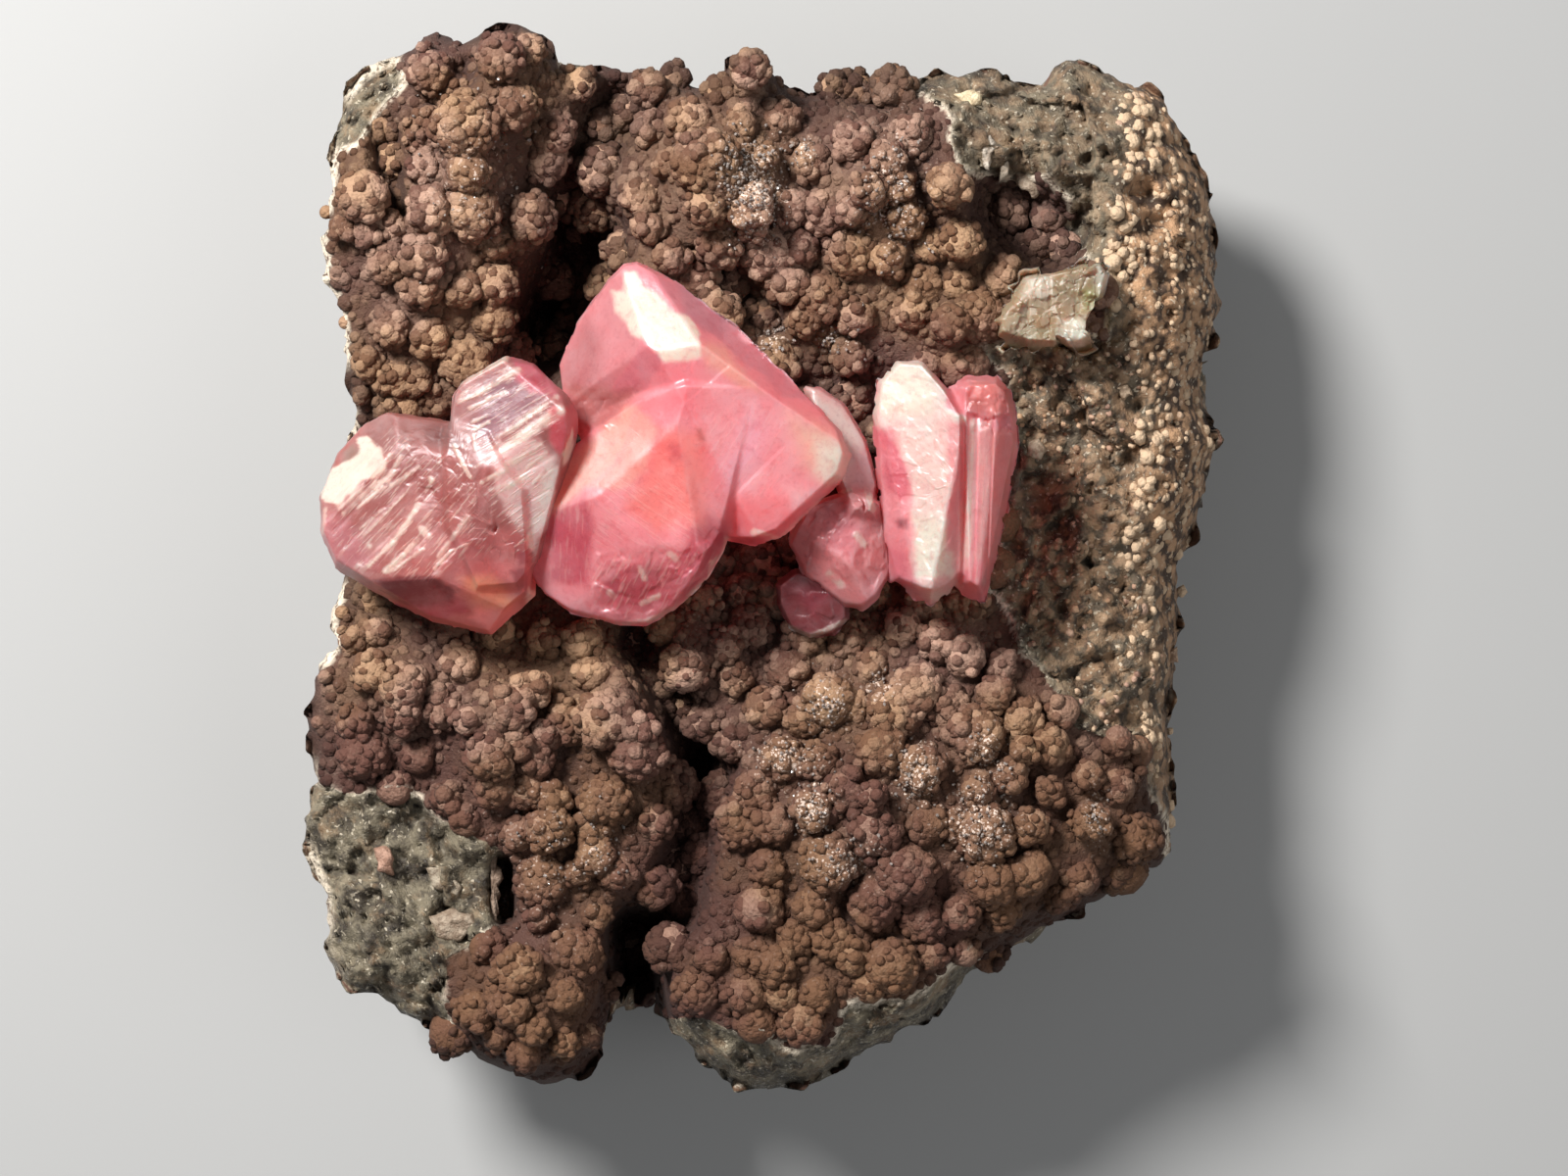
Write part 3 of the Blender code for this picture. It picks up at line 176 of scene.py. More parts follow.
# Relief: size of the cells of each noise and its height
SLOW_CELL = 4.5
SLOW_RISE = 0.5
RIDGE_RUN = (0.75, 0.66)  # direction across the ridges of the bare rock
RIDGE_SPACING = 2.3
RIDGE_RISE = 0.8
PIT_CELLS = (2.3, 0.9)
PIT_DEPTH = 0.4
WALL_CELLS = (6.5, 2.8)
WALL_RISES = (0.8, 0.55)
LEDGE_SPACING = 5.2
LEDGE_DEPTH = 0.9
LIP = 1.1                 # how far the crust stands out over the broken wall under it
LIP_SPAN = 0.33           # share of the wall's height over which the lip draws in
CALM_REACH = 0.4          # share of the wall's height over which the rim evens out
WALL_TAPER = 1.3


# Crystals: girdle, then three places on each face above it, and grooves: two ends, width and depth
LEFT_LOWER = {
    "girdle": rows(3, -430, 106, 420, -403, 137, 430, -377, 149, 436, -313, 139, 450, -270, 129, 450,
        -230, 69, 450, -227, -1, 430, -228, -39, 410, -272, -79, 400, -335, -65, 400, -390, -37, 406,
        -432, -11, 406, -447, 24, 406, -448, 61, 410),
    "tables": rows(9, -430, 49, 466, -295, 89, 492, -335, -21, 478,
        -430, 49, 466, -367, 107, 488, -423, 99, 440, -387, -19, 474, -329, -21, 478, -345, -59, 432,
        -323, -21, 478, -277, 49, 490, -255, -46, 452, -365, 107, 486, -305, 97, 492, -345, 139, 464),
    "grooves": rows(6, -435, 24, -370, 91, 11, 6, -423, 9, -350, 82, 13, 7, -407, -8, -327, 72, 14, 8,
        -377, -17, -305, 57, 16, 8, -339, -23, -283, 35, 13, 7)}

LEFT_UPPER = {
    "girdle": rows(3, -314, 151, 460, -312, 167, 460, -303, 180, 460, -259, 206, 464, -229, 198, 470,
        -213, 183, 476, -195, 165, 480, -185, 149, 480, -185, 124, 476, -199, 74, 468, -225, -6, 450,
        -243, -29, 440, -285, -31, 446, -315, 29, 456, -320, 99, 458),
    "tables": rows(9, -310, 167, 490, -207, 159, 520, -275, 91, 504,
        -256, 203, 496, -208, 167, 508, -223, 193, 484, -275, 91, 504, -209, 129, 516, -240, -16, 460,
        -309, 164, 490, -283, 69, 498, -325, 99, 472),
    "grooves": rows(6, -313, 161, -245, 197, 12, 7, -307, 141, -227, 185, 13, 8,
        -295, 117, -203, 167, 13, 9, -281, 99, -203, 142, 12, 8, -275, 66, -209, 103, 13, 8,
        -265, 39, -215, 69, 12, 7)}

CENTRE_UPPER = {
    "girdle": rows(3, -138, 299, 466, -123, 302, 466, -85, 281, 484, -23, 236, 486, 54, 159, 486,
        83, 129, 476, 94, 105, 464, 87, 79, 456, 22, 20, 446, -5, 12, 446, -35, 17, 440, -85, 29, 436,
        -155, 79, 430, -200, 149, 416, -204, 195, 416, -185, 241, 430, -156, 282, 452),
    "tables": rows(9, -200, 197, 426, -138, 285, 498, -120, 213, 526,
        -138, 285, 498, -60, 217, 538, -107, 217, 532, -85, 279, 488, 54, 157, 490, -60, 217, 538,
        -60, 217, 538, 55, 114, 514, -30, 24, 488, 55, 117, 512, 60, 69, 500, 91, 99, 504,
        -118, 213, 528, -175, 167, 456, -95, 197, 534),
    "grooves": rows(6, -85, 149, -30, 197, 14, 6, -40, 49, 25, 114, 16, 6)}

CENTRE_LOWER = {
    "girdle": rows(3, -234, -16, 430, -232, 14, 440, -224, 40, 452, -209, 77, 460, -187, 115, 464,
        -167, 133, 468, -123, 161, 480, -75, 179, 490, -5, 169, 480, -30, 24, 452, -37, 7, 446,
        -53, -21, 440, -85, -53, 436, -114, -69, 432, -146, -68, 428, -192, -56, 426, -219, -38, 426),
    "tables": rows(9, -200, 57, 480, -135, 79, 512, -135, 144, 492,
        -173, 68, 498, -107, 131, 520, -85, 9, 504, -223, 37, 466, -173, 66, 498, -195, -46, 444,
        -160, 24, 500, -75, -1, 498, -120, -63, 448, -75, 129, 520, -60, 49, 508, -30, 89, 492)}

SMALL_BEHIND = {
    "girdle": rows(3, 43, 177, 432, 63, 173, 436, 87, 156, 436, 109, 119, 432, 122, 73, 428, 118, 39, 424,
        90, 39, 424, 57, 119, 428),
    "tables": rows(9, 65, 169, 456, 113, 99, 448, 80, 99, 464)}

SMALL_UPPER = {
    "girdle": rows(3, 28, 13, 412, 33, 31, 416, 49, 56, 424, 93, 71, 432, 125, 57, 432, 132, 9, 428,
        134, -15, 424, 121, -41, 416, 105, -54, 408, 85, -49, 406, 47, -19, 408),
    "tables": rows(9, 55, 49, 452, 105, 49, 460, 95, -21, 456, 37, 9, 432, 75, 9, 458, 87, -43, 424,
        120, 39, 452, 130, -1, 438, 105, -31, 444)}

SMALL_LOWER = {
    "girdle": rows(3, 16, -27, 376, 19, -49, 376, 31, -72, 372, 51, -82, 370, 76, -79, 372, 91, -63, 376,
        92, -43, 380, 70, -21, 388, 37, -11, 386),
    "tables": rows(9, 35, -31, 404, 75, -36, 408, 55, -71, 392)}

RIGHT_BLADE = {
    "girdle": rows(3, 114, 144, 444, 121, 179, 452, 139, 201, 456, 167, 200, 460, 191, 175, 460,
        212, 145, 460, 212, 124, 460, 210, -19, 432, 193, -37, 428, 175, -48, 424, 158, -43, 424,
        132, -24, 426, 124, 24, 436),
    "tables": rows(9, 118, 159, 468, 209, 137, 516, 165, -21, 488,
        118, 119, 460, 155, 34, 490, 130, -21, 448, 209, 137, 516, 191, 49, 504, 215, 69, 488)}

RIGHT_GROOVED = {
    "girdle": rows(3, 191, 177, 432, 209, 185, 432, 241, 185, 436, 255, 173, 436, 261, 149, 436,
        263, 114, 436, 253, 59, 432, 242, -1, 424, 235, -27, 420, 229, -44, 416, 215, -43, 416,
        197, -31, 420),
    "tables": rows(9, 200, 169, 498, 245, 159, 494, 225, -21, 482,
        247, 159, 492, 259, 109, 470, 230, -16, 478),
    "grooves": rows(6, 218, -43, 223, 161, 8, 10, 231, -43, 239, 144, 8, 12)}

PALE = {
    "girdle": rows(3, 239, 224, 380, 240, 242, 384, 270, 284, 388, 293, 290, 392, 346, 301, 396,
        355, 287, 396, 343, 241, 392, 337, 219, 388, 317, 212, 384, 271, 214, 380),
    "tables": rows(9, 255, 249, 410, 345, 289, 422, 315, 224, 412,
        255, 249, 412, 285, 284, 414, 245, 269, 392),
    "grooves": rows(6, 273, 237, 275, 287, 9, 12, 295, 224, 297, 294, 10, 16, 321, 239, 323, 299, 12, 16)}


# Colours of the crystals and their veils; the creams serve also as painted highlights, reflections and
# glints
CREAM = shade(255, 238, 218)
WARM_CREAM = shade(255, 206, 182)
PALE_PINK = shade(252, 196, 196)
PINK = shade(248, 148, 154)
SALMON = shade(238, 126, 132)
CORAL = shade(255, 138, 130)
PEACH = shade(255, 178, 160)
ROSE = shade(214, 98, 114)
DEEP_ROSE = shade(190, 74, 88)
MAROON = shade(124, 42, 58)
DUSKY = shade(190, 122, 116)
INCLUSION = shade(120, 56, 54)
OLIVE = shade(176, 166, 98)

# Groups of crystals grown together. middle lies in all the shapes of its group, in millimetres. A zone is an
# outline with its colour, strength and softness of edge; some zones are painted light, shade or reflections,
# as marked. A streak is a pale step: two ends, half width and strength; its cream is partly painted glint.
# Striae are fine pale lines: an outline, their bearing in degrees and their strength. Chips are uneven,
# broken
# places: an outline and its strength.
LEFT_CRYSTALS = {
    "node": "left_crystals", "shapes": [LEFT_LOWER, LEFT_UPPER], "middle": (-13.2, 1.35),
    "bed": CRYSTAL_BED, "columns": 440, "rows": 92, "ragged": 0.5, "side_rows": 8, "slot": "pink_crystal",
    "colour": shade(174, 108, 102),
    "zones": [
        (plan(-409, 149, -313, 145, -295, 119, -335, 107, -395, 107), shade(158, 112, 106), 0.8, 0.3),
        (plan(-345, 133, -311, 145, -279, 129, -283, 111, -335, 113), shade(118, 78, 74), 0.7, 0.3),
        (plan(-345, 114, -275, 89, -255, 9, -305, 9, -345, 49), shade(172, 102, 96), 0.8, 0.5),
        (plan(-447, 44, -423, 39, -390, -11, -435, -11, -450, 21), shade(206, 134, 138), 0.8, 0.3),
        (plan(-391, 34, -347, 69, -333, 49, -339, 9, -390, -9, -403, 9), shade(192, 130, 122), 0.8, 0.3),
        (plan(-323, 21, -260, 24, -255, -31, -315, -31), shade(184, 100, 98), 0.8, 0.4),
        # painted highlight: the steep left facet, lit white by the key light
        (plan(-447, 64, -446, 70, -434, 89, -423, 96, -408, 109, -409, 123, -400, 126, -381, 107, -379, 92,
             -391, 81, -405, 77, -417, 64, -430, 52, -442, 57), CREAM, 0.97, 0.06),
        (plan(-425, 111, -413, 119, -409, 107, -423, 96), shade(150, 126, 112), 0.8, 0.1),
        # deep red of the downward face, darkened further as painted shade
        (plan(-392, -23, -371, -21, -333, -19, -315, -29, -305, -43, -325, -51,
             -366, -49), shade(96, 28, 34), 0.92, 0.1),
        (plan(-377, -45, -335, -50, -305, -43, -295, -55, -330, -65,
             -366, -61), shade(158, 72, 84), 0.85, 0.15),
        (plan(-305, -21, -275, -21, -245, -43, -255, -61, -285, -59), shade(240, 164, 124), 0.7, 0.3),
        (plan(-289, -53, -243, -49, -245, -71, -270, -79, -295, -63), shade(250, 156, 150), 0.85, 0.2),
        (plan(-270, -6, -239, 9, -227, -37, -251, -43), shade(216, 136, 134), 0.8, 0.3),
        (plan(-235, -31, -225, -35, -230, -53, -239, -49), CREAM, 0.8, 0.1),
        (plan(-314, 177, -255, 207, -245, 197, -275, 124, -291, 79,
             -313, 129), shade(182, 132, 128), 0.9, 0.2),
        (plan(-275, 184, -230, 184, -215, 164, -245, 141, -270, 123, -281, 109,
             -287, 139), shade(160, 108, 118), 0.9, 0.25),
        (plan(-254, 205, -217, 193, -201, 161, -230, 167, -247, 181), shade(218, 118, 132), 0.95, 0.15),
        (plan(-241, 186, -215, 186, -215, 173, -239, 173), shade(190, 84, 98), 0.7, 0.12),
        # painted light: lower part of the upper left crystal, turned from the lamp, painted pale
        (plan(-275, 114, -225, 119, -207, 99, -215, 29, -235, 9, -270, 69), shade(255, 214, 206), 0.95, 0.2),
        (plan(-270, 29, -230, 29, -230, 7, -260, 3), shade(204, 124, 120), 0.8, 0.2),
        (plan(-220, 91, -205, 91, -213, 49, -228, 24, -229, 7, -237, 9, -239, 29,
             -227, 59), shade(255, 226, 214), 0.9, 0.12),
        (plan(-215, 151, -183, 159, -189, 113, -205, 105, -213, 119), shade(216, 90, 100), 0.9, 0.12),
        (plan(-192, 129, -188, 117, -192, 101, -200, 92, -203, 107, -197, 119), CREAM, 0.95, 0.05),
        (plan(-249, 9, -235, 9, -233, -5, -245, -9), shade(164, 84, 90), 0.8, 0.12),
        (plan(-255, -13, -239, -11, -233, -31, -249, -33), shade(150, 72, 78), 0.8, 0.12)],
    "streaks": rows(6, -428, 49, -403, 72, 2, 16, -423, 45, -390, 77, 2.4, 18, -409, 51, -383, 72, 2, 18,
        -391, 71, -373, 87, 3, 18, -379, 77, -365, 103, 2.4, 18, -375, 73, -347, 92, 2.4, 17,
        -385, 91, -376, 105, 3, 16, -407, 29, -383, 50, 1.2, 14, -403, 23, -357, 69, 1.2, 14,
        -398, -8, -373, 15, 2.4, 20, -373, 15, -351, 47, 3, 20, -351, 47, -347, 54, 3, 20,
        -381, -14, -363, 2, 3.4, 20, -363, 2, -349, 18, 3, 20, -377, -15, -343, 8, 2, 14,
        -344, 29, -338, 22, 4, 20, -331, -11, -315, 6, 2, 18, -315, 6, -297, 14, 1.4, 14,
        -327, 1, -310, 24, 2.4, 14, -310, 24, -297, 41, 3, 14, -335, 80, -334, 78, 3, 20,
        -397, 12, -397, 11, 2.4, 20, -442, 49, -445, 24, 2, 12, -309, 176, -283, 190, 3, 16,
        -283, 190, -258, 204, 4, 20, -287, 167, -267, 179, 3, 18, -269, 179, -246, 191, 4, 20,
        -277, 161, -259, 168, 2.4, 20, -307, 159, -289, 165, 2, 16, -295, 152, -279, 158, 2, 16,
        -293, 138, -278, 144, 1.8, 18, -290, 131, -276, 138, 1.8, 18, -267, 122, -235, 143, 2.4, 20,
        -235, 143, -206, 164, 2.4, 20, -262, 109, -235, 129, 4, 20, -245, 121, -203, 150, 6, 20,
        -258, 94, -223, 114, 3.4, 20, -272, 111, -265, 117, 2.4, 18, -283, 77, -257, 89, 2.4, 18,
        -275, 69, -253, 76, 2, 14, -255, 71, -238, 85, 2, 18, -237, 91, -217, 106, 2, 18,
        -230, 75, -219, 89, 2, 16, -311, 114, -303, 97, 2.4, 18, -303, 97, -295, 82, 2.4, 18,
        -291, 125, -290, 110, 2, 16, -234, 24, -232, 11, 2.4, 18),
    "striae": [
        (plan(-440, 69, -375, 129, -295, 89, -275, 9, -335, -21, -425, -11), 48, 0.55),
        (plan(-310, 174, -255, 203, -200, 159, -215, 99, -295, 89), 31, 0.5),
        (plan(-285, 79, -210, 94, -230, -1, -255, 9), 36, 0.6)],
    "chips": [
        (plan(-409, 139, -305, 129, -245, -1, -275, -1, -375, 79), 0.5)]}

CENTRE_CRYSTALS = {
    "node": "centre_crystals", "shapes": [CENTRE_UPPER, CENTRE_LOWER], "middle": (-5, 5),
    "bed": CRYSTAL_BED, "columns": 480, "rows": 92, "ragged": 0.6, "side_rows": 12, "slot": "pink_crystal",
    "colour": PINK,
    "zones": [
        (plan(-203, 184, -190, 239, -153, 289, -135, 294, -135, 234, -120, 217, -153, 167,
             -185, 164), shade(222, 146, 150), 0.9, 0.1),
        (plan(-210, 184, -179, 244, -163, 224, -157, 169, -185, 159), shade(190, 122, 124), 0.75, 0.4),
        (plan(-153, 167, -120, 217, -101, 203, -115, 169), shade(222, 132, 142), 0.9, 0.08),
        (plan(-135, 301, -85, 281, -23, 236, 54, 159, 25, 164, -5, 191, -37, 219, -60, 234,
             -107, 274), shade(222, 136, 146), 0.9, 0.1),
        (plan(-85, 284, -23, 236, -40, 224, -75, 251), shade(196, 122, 134), 0.6, 0.2),
        (plan(-63, 219, -33, 214, 3, 167, -13, 171, -53, 191), PEACH, 0.85, 0.25),
        # painted reflection: the light mirrored white in the top facet of the upper crystal
        (plan(-149, 271, -138, 272, -137, 290, -125, 291, -117, 275, -103, 270, -93, 255, -73, 247,
             -60, 229, -59, 203, -75, 199, -102, 202, -113, 219, -130, 226, -138, 239,
             -147, 255), CREAM, 0.97, 0.1),
        (plan(-99, 195, -63, 197, -63, 129, -85, 119, -103, 133, -111, 167), shade(255, 140, 150), 0.8, 0.5),
        (plan(-64, 132, -59, 133, -56, 120, -61, 119), INCLUSION, 0.9, 0.12),
        (plan(-55, 132, -39, 131, -43, 117, -53, 119), PALE_PINK, 0.8, 0.2),
        (plan(-53, 189, 3, 167, 55, 139, 71, 75, 22, 45, -31, 61,
             -57, 129), shade(255, 168, 174), 0.85, 0.2),
        (plan(-11, 149, 5, 129, -3, 89, -30, 64, -37, 89, -20, 124), shade(252, 190, 204), 0.8, 0.6),
        # painted light and highlight: cream on the tip facet, which faces away from the lamp
        (plan(31, 144, 65, 133, 93, 107, 87, 83, 65, 75, 43, 99), WARM_CREAM, 0.85, 0.5),
        (plan(59, 121, 83, 117, 91, 99, 85, 81, 70, 75, 59, 89), CREAM, 0.95, 0.3),
        (plan(-31, 61, 26, 61, 40, 57, 21, 21, -5, 24, -31, 39), SALMON, 0.85, 0.4),
        (plan(30, 69, 67, 69, 55, 55, 37, 49), PALE_PINK, 0.7, 0.3),
        (plan(-57, 47, -25, 34, -30, 13, -75, -1, -73, 34), DEEP_ROSE, 0.85, 0.4),
        (plan(-27, 24, 15, 17, -5, 9, -30, 13), DEEP_ROSE, 0.7, 0.2),
        (plan(-200, 177, -120, 171, -130, 154, -160, 129, -185, 139), DUSKY, 0.8, 0.3),
        (plan(-230, 34, -209, 81, -175, 117, -135, 152, -123, 153, -131, 127, -145, 97, -163, 81,
             -200, 52), PEACH, 0.9, 0.2),
        (plan(-123, 149, -101, 131, -113, 99, -129, 74, -145, 66, -172, 71, -143, 99), PEACH, 0.75, 0.15),
        (plan(-101, 129, -59, 129, -55, 69, -59, 39, -105, 27, -135, 54, -123, 79), CORAL, 0.9, 0.4),
        (plan(-93, 113, -81, 113, -79, 99, -91, 99), DEEP_ROSE, 0.7, 0.3),
        (plan(-212, 47, -175, 63, -169, 24, -177, -27, -211, -25, -217, 24), shade(202, 84, 100), 0.85, 0.2),
        (plan(-231, 24, -219, 34, -215, -31, -227, -26), PINK, 0.7, 0.2),
        (plan(-153, -7, -85, -5, -75, -29, -95, -53, -143, -61, -159, -31), DEEP_ROSE, 0.8, 0.35),
        (plan(-75, 9, -37, 29, -45, -16, -75, -46, -85, -21), ROSE, 0.7, 0.3)],
    "streaks": rows(6, -135, 266, -123, 251, 5, 16, -5, 26, 21, 17, 4, 18, 21, 19, 67, 63, 2.4, 12,
        -33, 19, -37, 3, 3, 14, -37, 3, -48, -5, 3, 14, -48, -5, -51, -21, 3, 16, -51, -21, -67, -33, 3, 16,
        -67, -33, -77, -48, 3, 16, -77, -48, -113, -64, 3, 16, -113, -64, -146, -69, 2.4, 12,
        -120, -47, -103, -39, 3, 16, -122, -11, -117, -21, 3, 16, -90, 3, -85, -1, 4, 16,
        -153, -35, -149, -39, 3, 14),
    "striae": [
        (plan(-155, 79, -75, 79, -55, 29, -95, -1, -175, 9), -34, 0.16),
        (plan(-55, 149, 25, 149, 25, 59, -55, 59), 55, 0.14),
        (plan(-175, -1, -75, 9, -40, 9, -85, -56, -165, -66), 62, 0.3),
        (plan(-215, 49, -171, 59, -171, -27, -215, -27), 88, 0.2)],
    "chips": [
        (plan(-165, 4, -75, 9, -30, 39, -30, 9, -75, -51, -135, -71, -175, -56), 1),
        (plan(-200, 174, -125, 174, -145, 134, -175, 129), 1)]}

SMALL_CRYSTALS = {
    "node": "small_crystals", "shapes": [SMALL_UPPER, SMALL_BEHIND], "middle": (5.3, 2.6),
    "bed": CRYSTAL_BED, "columns": 240, "rows": 44, "ragged": 0.9, "side_rows": 8, "slot": "mauve_crystal",
    "colour": shade(246, 146, 146),
    "zones": [
        # painted light: the crystal behind, shaded by the upper centre crystal, painted pale
        (plan(43, 177, 87, 156, 109, 119, 85, 69, 57, 119), shade(255, 214, 204), 0.95, 0.3),
        (plan(90, 109, 123, 109, 123, 73, 93, 73), PALE_PINK, 0.9, 0.3),
        (plan(31, 24, 51, 53, 91, 63, 83, 24, 63, -6), shade(238, 140, 140), 0.7, 0.15),
        (plan(70, 49, 110, 29, 95, -6, 65, 9), shade(228, 132, 142), 0.6, 0.4),
        (plan(105, -26, 130, -6, 121, -43, 103, -51), PINK, 0.6, 0.3)],
    "streaks": rows(6, 28, 13, 49, 56, 2.4, 12, 49, 56, 93, 69, 2.4, 12, 110, 69, 115, 49, 4, 16,
        99, 23, 107, 13, 4, 16, 71, -17, 83, -27, 4, 16),
    "striae": [],
    "chips": [
        (plan(45, 69, 125, 69, 130, -31, 45, -31), 0.9)]}

SMALL_LOWER_CRYSTAL = {
    "node": "small_crystals", "shapes": [SMALL_LOWER], "middle": (2.75, -2.45), "bed": CRYSTAL_BED,
    "columns": 140, "rows": 26, "ragged": 0.6, "side_rows": 8, "slot": "mauve_crystal",
    "colour": shade(140, 58, 62),
    "zones": [
        (plan(35, -31, 75, -36, 55, -56), ROSE, 0.4, 0.3)],
    "streaks": rows(6, 25, -69, 51, -81, 3, 12, 51, -81, 87, -65, 3, 12),
    "striae": [],
    "chips": [
        (plan(15, -21, 91, -21, 91, -81, 15, -81), 0.6)]}

RIGHT_CRYSTALS = {
    "node": "right_crystals", "shapes": [RIGHT_BLADE, RIGHT_GROOVED], "middle": (10.1, 3.5),
    "bed": CRYSTAL_BED, "columns": 380, "rows": 74, "ragged": 1.6, "side_rows": 10, "slot": "pink_crystal",
    "colour": PINK,
    "zones": [
        (plan(115, 144, 121, 179, 139, 201, 169, 199, 179, 181, 189, 174, 191, 152, 211, 144, 203, 109,
             199, 81, 191, 41, 200, -28, 179, -48, 159, -21, 151, 29, 157, 65, 143, 108,
             122, 129), shade(255, 222, 210), 0.97, 0.08),
        (plan(125, 197, 170, 203, 179, 181, 175, 149, 130, 144, 119, 154), CREAM, 0.95, 0.3),
        (plan(151, 119, 200, 129, 193, 41, 200, -28, 175, -43, 157, -6), shade(252, 206, 194), 0.7, 0.4),
        # painted light: cream on the downward end of the blade
        (plan(155, 41, 193, 41, 201, -28, 179, -48, 157, -21), CREAM, 0.9, 0.4),
        (plan(179, 145, 209, 139, 203, 99, 185, 109), shade(246, 190, 180), 0.6, 0.2),
        (plan(120, -31, 150, -43, 200, -31, 195, -19, 155, -23), shade(246, 176, 172), 0.7, 0.15),
        (plan(118, 133, 137, 129, 155, 77, 147, 57, 130, 69), ROSE, 0.8, 0.25),
        (plan(124, 59, 153, 54, 157, 24, 161, -28, 132, -26), PINK, 0.85, 0.2),
        (plan(130, 9, 155, 4, 159, -36, 133, -23), ROSE, 0.6, 0.25),
        (plan(140, 38, 150, 38, 148, 29, 141, 31), MAROON, 0.8, 0.15),
        (plan(213, 183, 255, 181, 259, 147, 235, 141, 215, 154), shade(232, 128, 118), 0.8, 0.3),
        (plan(211, 165, 229, 161, 225, 145, 213, 149), shade(190, 96, 88), 0.7, 0.15),
        (plan(210, 139, 225, 139, 215, -11, 200, -11), shade(255, 184, 180), 0.9, 0.15),
        (plan(193, 139, 211, 139, 203, 9, 191, 9), shade(246, 150, 152), 0.8, 0.15),
        (plan(225, 139, 237, 139, 231, -1, 223, -1), shade(246, 166, 162), 0.9, 0.08),
        (plan(237, 129, 261, 129, 247, -21, 229, -31), shade(232, 128, 124), 0.9, 0.12),
        (plan(203, -21, 237, -6, 230, -43, 203, -41), SALMON, 0.8, 0.3)],
    "streaks": rows(6, 217, 139, 211, 2, 3, 14, 191, 149, 209, 141, 3, 12, 121, 179, 139, 201, 3, 12),
    "striae": [
        (plan(197, 129, 245, 129, 235, -31, 197, -31), 86, 0.25)],
    "chips": [
        (plan(210, 185, 261, 185, 261, 129, 210, 129), 2),
        (plan(120, 199, 210, 199, 200, -41, 130, -31), 0.4)]}

PALE_CRYSTAL = {
    "node": "pale_crystal", "shapes": [PALE], "middle": (14.85, 12.7), "bed": PALE_BED, "columns": 220,
    "rows": 44, "ragged": 5.0, "side_rows": 8, "slot": "cream_crystal", "colour": shade(178, 154, 120),
    "zones": [
        (plan(270, 286, 297, 286, 297, 267, 270, 267), CREAM, 0.7, 0.25),
        (plan(305, 244, 330, 244, 330, 217, 305, 217), CREAM, 0.9, 0.2),
        (plan(343, 299, 357, 299, 355, 269, 345, 269), CREAM, 0.8, 0.2),
        (plan(305, 286, 335, 294, 335, 254, 300, 249), shade(160, 138, 104), 0.6, 0.3),
        (plan(330, 274, 347, 274, 347, 251, 330, 251), OLIVE, 0.7, 0.25)],
    "streaks": [],
    "striae": [
        (plan(270, 269, 335, 269, 335, 214, 270, 214), 84, 0.2)],
    "chips": [
        (plan(240, 299, 355, 299, 350, 214, 240, 214), 2.6)]}

CRYSTAL_GROUPS = {
    "left_crystals": LEFT_CRYSTALS,
    "centre_crystals": CENTRE_CRYSTALS,
    "small_crystals": SMALL_CRYSTALS,
    "small_lower_crystal": SMALL_LOWER_CRYSTAL,
    "right_crystals": RIGHT_CRYSTALS,
    "pale_crystal": PALE_CRYSTAL}

# For each slot: colour of the veils, of the dusky parts, and of the light that gets through
CLARITY = {
    "pink_crystal": ((1.0, 0.72, 0.70), (0.78, 0.50, 0.54), (0.96, 0.45, 0.48)),
    "mauve_crystal": ((1.0, 0.72, 0.72), (0.62, 0.36, 0.40), (0.90, 0.40, 0.46)),
    "cream_crystal": ((1.0, 0.92, 0.78), (0.60, 0.50, 0.34), (0.90, 0.80, 0.58))}

ALL_CRYSTALS = [shape for group in CRYSTAL_GROUPS.values() for shape in group["shapes"]]

# Pale chips and plates on the top: outline, rise and colour
CHIPS = [
    (plan(197, 471, 210, 477, 228, 473, 225, 463, 209, 459), 0.35, shade(232, 214, 176)),
    (plan(226, 423, 235, 430, 241, 417, 233, 391, 226, 399), 0.4, shade(196, 184, 168)),
    (plan(251, 429, 259, 423, 253, 393, 243, 383, 245, 401), 0.3, shade(180, 166, 148)),
    (plan(261, 393, 275, 391, 293, 379, 281, 367, 265, 377), 0.3, shade(170, 152, 132)),
    (plan(-391, -297, -379, -295, -371, -307, -375, -323, -387, -323), 0.5, shade(176, 138, 118)),
    (plan(-339, -317, -323, -315, -305, -333, -309, -345, -333, -335), 0.25, shade(164, 150, 130)),
    (plan(-335, -367, -317, -359, -293, -361, -287, -373, -305, -389,
          -329, -387), 0.3, shade(164, 146, 126)),
    (plan(-281, -283, -272, -289, -263, -325, -267, -377, -274, -375,
          -275, -325), 0.8, shade(150, 128, 110)),
    (plan(273, 117, 285, 121, 293, 111, 287, 99, 275, 103), 0.45, shade(196, 176, 152)),
    (plan(365, 173, 377, 177, 381, 165, 369, 161), 0.4, shade(180, 156, 130)),
    (plan(413, -95, 425, -91, 427, -107, 415, -111), 0.4, shade(180, 150, 124))]
CHIP_COLUMNS = 24

# The sandy right flank of the block
SANDY_FLANK = plan(375, 539, 350, 319, 365, 229, 390, 149, 375, 49, 385, -31, 400, -131, 390, -191,
    405, -331, 515, -331, 515, 539)

